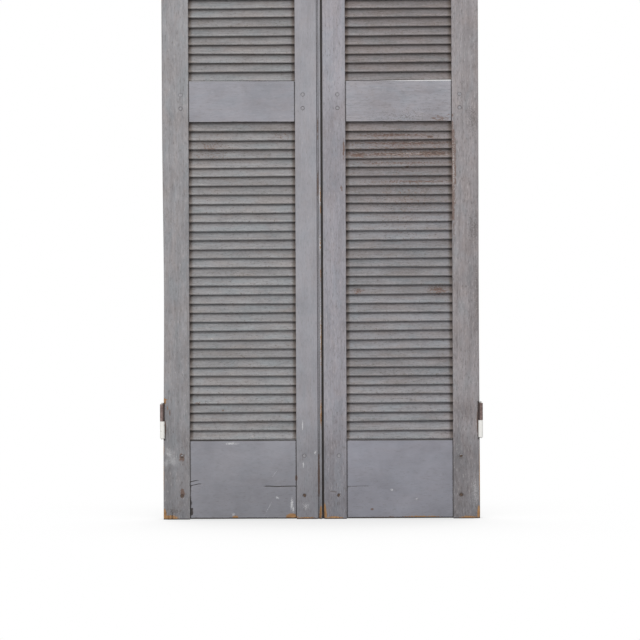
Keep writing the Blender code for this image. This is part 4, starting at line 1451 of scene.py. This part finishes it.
class PaintSettings(bpy.types.PropertyGroup):
    """The colours of the paint, of what lies on it and of the wood below it."""

    paint_light: colour_setting("Light Paint", "Paint where it is cleanest", (0.324, 0.317, 0.335))
    paint_dark: colour_setting("Dark Paint", "Paint in its darkest streaks", (0.216, 0.209, 0.221))
    hue_cool: colour_setting("Cool Patches", "Tint of the cooler patches", (0.93, 0.985, 1.0))
    hue_warm: colour_setting("Warm Patches", "Tint of the warmer patches", (1.0, 0.955, 0.925))
    pale_colour: colour_setting("Pale Wear", "Rubbed paint on the edges", (0.46, 0.43, 0.42))
    # Also the painted shade in the quirk, under the lowest slat and along the feet
    joint_colour: colour_setting("Joints", "Black dirt in joints and cracks", (0.022, 0.017, 0.015))
    slat_light_left: colour_setting(
        "Left Slats, Light", "Cleanest paint on the left slats", (0.392, 0.39, 0.404)
    )
    slat_dark_left: colour_setting(
        "Left Slats, Dark", "Darkest paint on the left slats", (0.274, 0.27, 0.278)
    )
    slat_light_right: colour_setting(
        "Right Slats, Light", "Cleanest paint on the right slats", (0.366, 0.36, 0.382)
    )
    slat_dark_right: colour_setting(
        "Right Slats, Dark", "Darkest paint on the right slats", (0.25, 0.243, 0.253)
    )
    dirt_colour: colour_setting("Dirt", "Dirt rubbed into the paint", (0.1, 0.088, 0.085))
    foot_colour: colour_setting("Foot Dirt Colour", "Dirt splashed on the feet", (0.084, 0.086, 0.097))
    # Grime, and the painted shade at the slats' backs and ends
    grime_colour: colour_setting("Grime", "Grime in the corners of the slats", (0.115, 0.09, 0.077))
    scuff_colour: colour_setting("Scuffs", "Brown scuffs by hands and latches", (0.12, 0.072, 0.054))
    chalk_colour: colour_setting("Chalk", "Pale smears and primer", (0.62, 0.62, 0.63))
    bare_wood: colour_setting("Bare Wood", "Wood where the paint has gone", (0.42, 0.24, 0.11))
    bare_wood_dark: colour_setting("Bare Wood, Dark", "Darker grain of bare wood", (0.22, 0.115, 0.05))
    handled_colour: colour_setting("Handling", "Tint of the slats at hand height", (0.85, 0.8, 0.775))
    chip_colour: colour_setting("Chips", "Red-brown wood in the slats' chips", (0.165, 0.088, 0.062))
    fleck_colour: colour_setting("Flecks", "Cream primer on the slats", (0.6, 0.535, 0.49))
    # Painted shade on the slats' noses
    nose_colour: colour_setting("Noses", "Tint of the slats' worn noses", (0.86, 0.86, 0.85))
    peg_colour: colour_setting("Pegs", "The pegs' end grain", (0.12, 0.075, 0.05))
    peg_dark: colour_setting("Pegs, Dark", "Darker grain of the pegs", (0.04, 0.028, 0.022))
    browning_left: share_setting("Left Browning", "How brown its slats are at hand height", 0.3)
    browning_right: share_setting("Right Browning", "How brown its slats are at hand height", 1.0)
    dirt: share_setting("Dirt Amount", "How strongly dirt covers the paint", 0.35)
    foot_dirt: share_setting("Foot Dirt", "How strongly dirt covers the feet of the doors", 0.42)


class WearSettings(bpy.types.PropertyGroup):
    """How far age has rounded, chipped and warped the boards."""

    arris: length_setting("Arris", "Radius of the boards' worn edges", 1.6 * MM)
    back_arris: length_setting("Back Arris", "Radius of the edges at the back", 1.0 * MM)
    arris_cell: length_setting("Arris Change", "Length over which an edge's rounding changes", 60 * MM)
    chip_size: length_setting("Chip Size", "How much larger the rounding is at a chip", 1.6 * MM)
    chip_cell: length_setting("Chip Length", "Length of the chips along an edge", 16 * MM)
    chip_start: share_setting("Chip Start", "Noise level above which an edge is chipped", 0.25)
    end_ease: length_setting("End Ease", "Rounding of the boards' sawn ends", 0.8 * MM)
    joint_wear: length_setting("Joint Wear", "How far the right meeting edge has worn back", 2.0 * MM)
    # Also painted shade along the stiles' feet
    end_dirt: share_setting("End Dirt", "How dirty the boards' sawn ends are", 0.75)
    shoulder_gap: length_setting("Shoulder Gap", "Gap between a rail and its stile", 0.45 * MM)
    shoulder_dirt: length_setting("Shoulder Dirt", "How far dirt has spread from a shoulder", 2.2 * MM)
    tongue_length: length_setting("Tongue", "How far a rail's tongue runs into the stile", 6.0 * MM)
    tongue_share: share_setting("Tongue Thickness", "A tongue's share of the board's thickness", 0.32)
    waviness: length_setting("Waviness", "How far the faces stray from flat", 0.35 * MM)
    peg_sink: length_setting("Peg Sink", "Depth of the dishes round the pegs", 0.9 * MM)
    peg_rim: length_setting("Peg Rim", "Radius of the dishes' floors", 5.2 * MM)
    peg_dirt: share_setting("Peg Dirt", "How dirty the dishes round the pegs are", 0.5)
    crack_width: length_setting("Crack Width", "Half the width of a crack's mouth", 1.0 * MM)
    crack_depth: length_setting("Crack Depth", "Depth of the cracks in the boards", 3.0 * MM)
    bare: share_setting("Bare Edges", "How readily the edges lose their paint", 0.42)


class SlatSettings(bpy.types.PropertyGroup):
    """The slats' sizes and how unevenly they lie."""

    pitch: length_setting("Pitch", "Height from one slat to the next", 25.4 * MM)
    width: length_setting("Width", "Width of a slat along its slope", 40.0 * MM)
    thickness: length_setting("Thickness", "Thickness of a slat", 7.0 * MM)
    nose_ease: length_setting("Nose Ease", "Rounding of the slats' edges", 2.8 * MM)
    slope: angle_setting("Slope", "Slope of the slats", 45.0)
    tilt: angle_setting("Tilt", "Most that a slat strays from the slope", 1.6)
    wander: length_setting("Wander", "How far a slat strays up or down", 1.8 * MM)
    lean: angle_setting("Lean", "Most that a slat strays from its leaf's climb", 0.3)
    climb_left: angle_setting("Left Climb", "How far the left slats climb to the right", 0.06)
    climb_right: angle_setting("Right Climb", "How far the right slats climb to the right", 0.24)
    run_in: length_setting("Run In", "How far the slats run into the frame", 6.0 * MM)
    # How strongly painted shade darkens the slats' noses
    nose_wear: share_setting("Nose Wear", "How far handling has darkened the noses", 1.0)
    # Painted shade with grime at the slats' backs, under the next slat: its strength, its extra at hand
    # height and where it begins
    grime: share_setting("Grime", "How strongly grime covers the back of the slats", 0.05)
    hand_grime: share_setting("Hand Grime", "How much more grime there is at hand height", 0.34)
    grime_start: share_setting("Grime Start", "Where grime begins, from -1 at the nose", -0.6)
    seed: bpy.props.IntProperty(name="Seed", description="Seed of the slats' unevenness", default=11)


class IronSettings(bpy.types.PropertyGroup):
    """The pegs' and screws' sizes and the hinges' rust."""

    peg_diameter: length_setting("Peg Diameter", "Diameter of the pegs", 9.6 * MM)
    peg_chamfer: length_setting("Peg Chamfer", "Chamfer of the pegs' ends", 0.8 * MM)
    peg_recess: length_setting("Peg Recess", "How far the pegs lie below the boards' faces", 0.2 * MM)
    screw_diameter: length_setting("Screw Diameter", "Diameter of the screws' heads", 8.6 * MM)
    screw_depth: length_setting("Screw Depth", "Depth of the screws' heads", 2.6 * MM)
    slot_width: length_setting("Slot Width", "Width of the screws' slots", 1.1 * MM)
    slot_depth: length_setting("Slot Depth", "Depth of the screws' slots", 0.9 * MM)
    rust_light: colour_setting("Light Rust", "Powdery rust", (0.26, 0.19, 0.175))
    rust_dark: colour_setting("Dark Rust", "Hard brown rust", (0.12, 0.08, 0.072))
    door_coat: colour_setting("Door Plates' Paint", "Old paint on the doors' plates", (0.22, 0.2, 0.2))
    jamb_coat: colour_setting("Jamb Plates' Paint", "Old paint on the jambs' plates", (0.8, 0.79, 0.76))
    # Also the painted shade at the hinges' edges
    pit_colour: colour_setting("Pits", "Dark pits in the iron", (0.035, 0.025, 0.023))


class StageSettings(bpy.types.PropertyGroup):
    """The camera, the light and the floor."""

    view_width: length_setting("View Width", "Width of the view at the doors' fronts", 1790.7 * MM)
    distance: length_setting("Distance", "From the camera to the doors' fronts", 6.0)
    eye_height: length_setting("Eye Height", "Height of the camera", 0.5569)
    eye_side: length_setting("Eye Side", "How far the camera stands to the right", -2.8 * MM)
    roll: angle_setting("Roll", "Roll of the camera", 0.255)
    key_power: number_setting("Key Power", "Power of the soft light in front", 135.0, unit="POWER")
    ambient: share_setting("Ambient", "Strength of the light from all round", 0.56)
    floor_share: share_setting("Floor Share", "Share of plain white in the floor's shade", 0.6)
    shade_reach: length_setting("Shade Reach", "How far from the doors the floor shows its shade", 0.9)


class DoorSettings(bpy.types.PropertyGroup):
    """All the settings of the doors."""

    paint: group_setting(PaintSettings, "Paint", "Paint and wood")
    wear: group_setting(WearSettings, "Wear", "Wear of the boards")
    slats: group_setting(SlatSettings, "Slats", "Slats")
    iron: group_setting(IronSettings, "Iron", "Pegs, screws and hinges")
    stage: group_setting(StageSettings, "Stage", "Camera, light and floor")


# Operators


class MakeStiles(bpy.types.Operator):
    """Makes the four stiles with their worn edges, hinge gains and beads"""

    bl_idname = "louvred_doors.make_stiles"
    bl_label = "Make Stiles"

    def execute(self, context):
        settings = settings_of(context)
        for leaf in LEAVES:
            self.hinge_stile(leaf, settings, leaf.seed("hinge_stile"))
            self.meeting_stile(leaf, settings, leaf.seed("meeting_stile"))
        return {"FINISHED"}

    def hinge_stile(self, leaf, settings, seed):
        wear = settings.wear
        corners = (
            Corner(leaf.hinge_edge, leaf.front, 1.2 * wear.arris, 0.9, 0.25),
            Corner(leaf.panel_outer, leaf.front, wear.arris, 0.7),
            Corner(leaf.panel_outer, leaf.back, wear.back_arris, 0.6),
            Corner(leaf.hinge_edge, leaf.back, wear.back_arris, 0.8),
        )
        pegs = leaf.pegs("_hinge_peg").values()
        fine = [*(place.z for place in pegs), *itertools.chain(*leaf.plates())]
        stations = plain_stations(0.0, leaf.spring - wear.shoulder_gap, wear, fine)
        across = columns(pegs)
        foot = leaf.hinge_edge - leaf.side * FOOT_TEAR_SETBACK
        shapers = [
            wavy(wear.waviness, UPRIGHT_WAVE, seed),
            peg_sinks(leaf, pegs, wear),
            bowed_edge(leaf),
            hinge_gains(leaf),
            broken_corner(leaf, foot, HINGE_FOOT_TEAR, seed),
        ]
        if leaf.side < 0:
            split = leaf.hinge_edge + FOOT_SPLIT_SETBACK
            shapers.append(foot_split(leaf, split, wear))
            across.append(split)
        board = Board(corners, stations, wear, seed, across, (leaf.plate_back,))
        finish_board(leaf, "hinge_stile", board, upright, shapers, settings)

    def meeting_stile(self, leaf, settings, seed):
        wear = settings.wear
        edge = leaf.meeting_edge
        joint = leaf.front + JOINT_DEPTH
        meeting = (
            Corner(MEETING_LINE, joint, JOINT_ROUND, 0.0, 1.0),
            Corner(MEETING_LINE, leaf.front + CONTACT_DEPTH, JOINT_ROUND, 0.0, 1.0),
            Corner(edge + leaf.side * LEADING_EDGE_BEVEL, leaf.back, wear.back_arris, 0.8),
            Corner(leaf.panel_inner, leaf.back, wear.back_arris, 0.6),
        )
        panel_front = Corner(leaf.panel_inner, leaf.front, wear.arris, 0.7)
        if leaf.side < 0:
            bead_outer = edge - JOINT_WIDTH
            bead_inner = bead_outer - BEAD_WIDTH
            quirk_inner = bead_inner - QUIRK_WIDTH
            quirk_floor = leaf.front + QUIRK_DEPTH
            corners = (
                panel_front,
                Corner(quirk_inner, leaf.front, QUIRK_ARRIS, 0.5, 0.1),
                # Painted shade with dirt in the quirk's floor
                Corner(quirk_inner + QUIRK_LEAN, quirk_floor, QUIRK_HOLLOW, 0.0, 0.45),
                Corner(bead_inner - BEAD_LEAN, quirk_floor, QUIRK_HOLLOW, 0.0, 0.5),
                Corner(bead_inner, leaf.front, BEAD_INNER_ROUND, 0.4, 0.12),
                Corner(bead_outer, leaf.front, BEAD_OUTER_ROUND, 0.6, 0.3),
                Corner(bead_outer, joint, JOINT_ROUND, 0.0, 1.0),
                *meeting,
            )
        else:
            worn_edge = edge + wear.joint_wear
            corners = (
                Corner(worn_edge, leaf.front, 1.1 * wear.arris, 0.8, 0.25),
                panel_front,
                *reversed(meeting),
                Corner(worn_edge, joint, JOINT_ROUND, 0.0, 1.0),
            )
        pegs = leaf.pegs("meeting_peg", "crown").values()
        stations = plain_stations(0.0, leaf.crown, wear, [place.z for place in pegs])
        across = columns(pegs)
        board = Board(corners, stations, wear, seed, across)
        shapers = [
            wavy(wear.waviness, UPRIGHT_WAVE, seed),
            peg_sinks(leaf, pegs, wear),
            broken_corner(leaf, edge, MEETING_FOOT_TEAR, seed),
        ]
        finish_board(leaf, "meeting_stile", board, crown_planed(leaf), shapers, settings)


class MakeRails(bpy.types.Operator):
    """Makes the bottom and middle rails with their cracks and shoulders"""

    bl_idname = "louvred_doors.make_rails"
    bl_label = "Make Rails"

    def execute(self, context):
        settings = settings_of(context)
        for leaf in LEAVES:
            self.bottom_rail(leaf, settings, leaf.seed("bottom_rail"))
            self.middle_rail(leaf, settings, leaf.seed("middle_rail"))
        return {"FINISHED"}

    def bottom_rail(self, leaf, settings, seed):
        wear = settings.wear
        top = leaf.bottom_rail_top
        corners = (
            # Painted shade with dirt along the rail's foot, where it meets the floor
            Corner(RAIL_FOOT, leaf.front, 1.3 * wear.arris, 0.8, 0.8),
            # The top front arris carries, as its dirt, painted shadow cast by the lowest slat
            Corner(top, leaf.front, 1.1 * wear.arris, 0.3, 0.85),
            Corner(top, leaf.back, wear.back_arris, 0.6),
            Corner(RAIL_FOOT, leaf.back, wear.back_arris, 0.8),
        )
        cracks = CRACKS[leaf.name]
        shapers = [wavy(wear.waviness, LEVEL_WAVE, seed)]
        for number, crack in enumerate(cracks):
            shapers.append(rail_crack(leaf, crack, wear, seed + number))
        if leaf.side < 0:
            shapers.append(torn_shoulder(leaf.panel_outer, 1.0, seed + len(cracks)))
        heights = sorted({crack.height for crack in cracks})
        self.finish_rail(leaf, "bottom_rail", corners, shapers, settings, seed, heights)

    def middle_rail(self, leaf, settings, seed):
        wear = settings.wear
        base, top = leaf.middle_rail_base, leaf.middle_rail_top
        slope = base + (leaf.back - leaf.front) * math.tan(settings.slats.slope)
        corners = (
            Corner(base, leaf.front, wear.arris, 1.0),
            Corner(top, leaf.front, 1.1 * wear.arris, 0.8),
            Corner(top, leaf.back, wear.back_arris, 0.6),
            Corner(slope, leaf.back, wear.back_arris, 0.6),
        )
        shapers = [wavy(wear.waviness, LEVEL_WAVE, seed)]
        self.finish_rail(leaf, "middle_rail", corners, shapers, settings, seed)

    def finish_rail(self, leaf, node, corners, shapers, settings, seed, fine=()):
        low, high = sorted((leaf.panel_inner, leaf.panel_outer))
        stations = tongued_stations(low, high, settings.wear)
        board = Board(corners, stations, settings.wear, seed, fine)
        finish_board(leaf, node, board, level, shapers, settings)


class MakeHeads(bpy.types.Operator):
    """Makes the two halves of the arched head"""

    bl_idname = "louvred_doors.make_heads"
    bl_label = "Make Arched Heads"

    def execute(self, context):
        settings = settings_of(context)
        wear = settings.wear
        for leaf in LEAVES:
            seed = leaf.seed("arched_head")
            corners = (
                Corner(leaf.opening_radius, leaf.front, wear.arris, 0.7),
                Corner(leaf.arch_radius, leaf.front, 1.2 * wear.arris, 1.0),
                Corner(leaf.arch_radius, leaf.back, wear.back_arris, 0.8),
                Corner(leaf.opening_radius, leaf.back, wear.back_arris, 0.6),
            )
            pegs = leaf.pegs("spring").values()
            radius = (leaf.opening_radius + leaf.arch_radius) / 2
            length = radius * math.acos(abs(leaf.panel_inner) / radius)
            rises = [place.z - leaf.spring for place in pegs]
            stations = tongued_stations(0.0, length, wear, rises)
            across = [math.hypot(place.x, place.z - leaf.spring) for place in pegs]
            board = Board(corners, stations, wear, seed, across)
            shapers = [wavy(wear.waviness, ARCHED_WAVE, seed), peg_sinks(leaf, pegs, wear)]
            finish_board(leaf, "arched_head", board, arched(leaf, length), shapers, settings, "head")
        return {"FINISHED"}


class MakeSlats(bpy.types.Operator):
    """Makes both leaves' slats"""

    bl_idname = "louvred_doors.make_slats"
    bl_label = "Make Slats"

    def execute(self, context):
        settings = settings_of(context)
        runs = [(leaf, self.inputs(leaf, settings)) for leaf in LEAVES]
        tree = slat_tree(runs[0][1])
        for leaf, inputs in runs:
            name = f"{leaf.name}_slats"
            tree.grow(name, [], inputs, leaf.body, SLOT_PAINT, f"{leaf.name}_meeting_stile")
        return {"FINISHED"}

    def inputs(self, leaf, settings):
        slats = settings.slats
        return {
            "Pitch": slats.pitch,
            "Width": slats.width,
            "Thickness": slats.thickness,
            "Nose Ease": slats.nose_ease,
            "Slope": slats.slope,
            "Side": float(leaf.side),
            "Middle Depth": leaf.front + SLAT_DEPTH,
            "Inner End": abs(leaf.panel_inner),
            "Opening Radius": leaf.opening_radius,
            "Spring Height": leaf.spring,
            "Half Rise": SLAT_HALF_RISE,
            "Run In": slats.run_in,
            "Tilt": slats.tilt,
            "Lean": slats.lean,
            "Climb": of_leaf(slats, "climb", leaf),
            "Wander": slats.wander,
            "Seed": slats.seed + leaf.side,
            "Finish": slat_paint(leaf, settings),
            "Lower Slats": LOWER_SLATS,
            "Lower Base": leaf.bottom_rail_top + SLAT_SILL,
            "Upper Slats": UPPER_SLATS + CROWN_SLATS,
            "Upper Base": leaf.middle_rail_top + SLAT_SILL,
        }


class MakePegs(bpy.types.Operator):
    """Makes the pegs that hold the joints"""

    bl_idname = "louvred_doors.make_pegs"
    bl_label = "Make Pegs"

    def execute(self, context):
        settings = settings_of(context)
        iron = settings.iron
        tree = None
        for number, leaf in enumerate(LEAVES):
            inputs = {
                "Diameter": iron.peg_diameter,
                "Length": leaf.back - leaf.front - 2 * iron.peg_recess,
                "Chamfer": iron.peg_chamfer,
                "Seed": PEG_SEED + number,
                "Finish": peg_wood(leaf, settings),
            }
            tree = tree or peg_tree(inputs)
            places = leaf.pegs("_peg")
            points = [(place.x, leaf.middle, place.z) for place in places.values()]
            tree.grow(f"{leaf.name}_pegs", points, inputs, leaf.body, SLOT_PEG, *places)
        return {"FINISHED"}


class MakeHinges(bpy.types.Operator):
    """Gives the hinges and pins their rust, and makes the hinge screws"""

    bl_idname = "louvred_doors.make_hinges"
    bl_label = "Make Hinges"

    def execute(self, context):
        iron = settings_of(context).iron
        door_coat = Coat(iron.door_coat, DOOR_COAT_SHARE, DOOR_EDGE_RUST_AND_SHADE)
        jamb_coat = Coat(iron.jamb_coat, JAMB_COAT_SHARE, JAMB_EDGE_RUST_AND_SHADE)
        door_iron = rusted_iron("door_iron", door_coat, iron)
        jamb_iron = rusted_iron("jamb_iron", jamb_coat, iron)
        finishes = {"_door_half": door_iron, "_jamb_half": jamb_iron, "_hinge_pin": jamb_iron}
        for name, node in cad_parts.items():
            for ending, material in finishes.items():
                if name.endswith(ending):
                    node.data.materials.clear()
                    node.data.materials.append(material)
        jamb_points = []
        sunk = iron.screw_depth / 2
        tree = screw_tree(self.inputs(iron, (), jamb_iron))
        for leaf in LEAVES:
            door_face = leaf.arch_radius + PLATE_PROUD
            jamb_face = door_face + PLATE_GAP
            middle = leaf.front + PLATE_PROUD + PLATE_WIDTH / 2
            door_points = []
            for low, high in leaf.plates():
                height = (low + high) / 2
                for step, setback in ((-1, -SCREW_STAGGER), (0, SCREW_STAGGER), (1, -SCREW_STAGGER)):
                    y, z = middle + setback, height + step * SCREW_SPACING
                    door_points.append((leaf.side * (door_face - sunk), y, z))
                    jamb_points.append((leaf.side * (jamb_face + sunk), y, z))
            inputs = self.inputs(iron, door_points, door_iron)
            tree.grow(f"{leaf.name}_door_screws", door_points, inputs, leaf.body, SLOT_IRON)
        inputs = self.inputs(iron, jamb_points, jamb_iron)
        tree.grow("jamb_screws", jamb_points, inputs, JAMB, SLOT_IRON)
        return {"FINISHED"}

    def inputs(self, iron, points, material):
        return {
            "Head Diameter": iron.screw_diameter,
            "Head Depth": iron.screw_depth,
            "Slot Width": iron.slot_width,
            "Slot Depth": iron.slot_depth,
            "Middle": LEAVES[0].arch_radius + PLATE_PROUD + PLATE_GAP / 2,
            "Seed": len(points),
            "Finish": material,
        }


class SetStage(bpy.types.Operator):
    """Sets the camera, the soft light and the white floor"""

    bl_idname = "louvred_doors.set_stage"
    bl_label = "Set Stage"

    def execute(self, context):
        stage = settings_of(context).stage
        scene = context.scene
        scene.view_settings.view_transform = "Standard"
        front = LEAVES[0].front
        self.camera(scene, stage, front)
        self.key_light(scene, stage, front)
        self.world(scene, stage)
        self.floor(stage)
        return {"FINISHED"}

    def camera(self, scene, stage, front):
        data = bpy.data.cameras.new("camera")
        data.sensor_width = SENSOR_WIDTH
        data.lens = SENSOR_WIDTH * stage.distance / stage.view_width
        camera = bpy.data.objects.new("camera", data)
        camera.location = (stage.eye_side, front - stage.distance, stage.eye_height)
        camera.rotation_euler = (math.pi / 2, stage.roll, 0.0)
        scene.collection.objects.link(camera)
        scene.camera = camera

    def key_light(self, scene, stage, front):
        data = bpy.data.lights.new("key", "AREA")
        data.shape = "RECTANGLE"
        data.size, data.size_y = KEY_SIZE
        data.energy = stage.key_power
        key = bpy.data.objects.new("key", data)
        x, y, z = KEY_PLACE
        key.location = (x, front + y, z)
        aim = Vector((0.0, front, KEY_AIM_HEIGHT)) - key.location
        key.rotation_euler = aim.to_track_quat("-Z", "Y").to_euler()
        key.visible_camera = False
        scene.collection.objects.link(key)

    def seen(self, graph):
        """One for rays that show a background rather than light the doors."""
        path = graph.node("ShaderNodeLightPath")
        kinds = ("Camera", "Glossy", "Transmission")
        rays = [Value(graph, path.outputs[f"Is {kind} Ray"]) for kind in kinds]
        return rays[0].largest(rays[1]).largest(rays[2])

    def world(self, scene, stage):
        world = bpy.data.worlds.new("studio")
        world.use_nodes = True
        graph = Graph(world.node_tree)
        strength = self.seen(graph) * (1.0 - stage.ambient) + stage.ambient
        sockets = {"Color": WHITE, "Strength": strength}
        background = graph.value("ShaderNodeBackground", None, sockets)
        graph.node("ShaderNodeOutputWorld", None, {"Surface": background})
        scene.world = world

    def floor(self, stage):
        material, graph = new_material("studio_floor")
        settings = {"samples": SHADE_SAMPLES}
        sockets = {"Distance": stage.shade_reach}
        openness = graph.value("ShaderNodeAmbientOcclusion", settings, sockets, "AO")
        white = graph.ramp(openness, FULL_SHADE, 1.0, stage.floor_share, 1.0) * self.seen(graph)
        matt = graph.value("ShaderNodeBsdfDiffuse", None, {"Color": FLOOR_GREY})
        glow = graph.value("ShaderNodeEmission", None, {"Color": WHITE, "Strength": 1.0})
        mixed = graph.value("ShaderNodeMixShader", None, {0: white, 1: matt, 2: glow})
        graph.node("ShaderNodeOutputMaterial", None, {"Surface": mixed})
        mesh = bpy.data.meshes.new("floor")
        signs = ((-1, -1), (1, -1), (1, 1), (-1, 1))
        corners = [(x * FLOOR_REACH, y * FLOOR_REACH, 0.0) for x, y in signs]
        mesh.from_pydata(corners, [], [(0, 1, 2, 3)])
        new_piece("floor", mesh, material)


OPERATORS = (MakeStiles, MakeRails, MakeHeads, MakeSlats, MakePegs, MakeHinges, SetStage)


class DoorPanel(bpy.types.Panel):
    """Lists the doors' operators"""

    bl_idname = "VIEW3D_PT_louvred_doors"
    bl_label = "Arched Louvred Doors"
    bl_space_type = "VIEW_3D"
    bl_region_type = "UI"
    bl_category = "Doors"

    def draw(self, context):
        for operator in OPERATORS:
            self.layout.operator(operator.bl_idname)


CLASSES = (
    PaintSettings,
    WearSettings,
    SlatSettings,
    IronSettings,
    StageSettings,
    DoorSettings,
    *OPERATORS,
    DoorPanel,
)


def register():
    for entry in CLASSES:
        bpy.utils.register_class(entry)
    bpy.types.Scene.louvred_doors = bpy.props.PointerProperty(type=DoorSettings)


def unregister():
    del bpy.types.Scene.louvred_doors
    for entry in reversed(CLASSES):
        bpy.utils.unregister_class(entry)


def main():
    register()
    for operator in OPERATORS:
        group, name = operator.bl_idname.split(".")
        getattr(getattr(bpy.ops, group), name)()


if __name__ == "__main__":
    main()
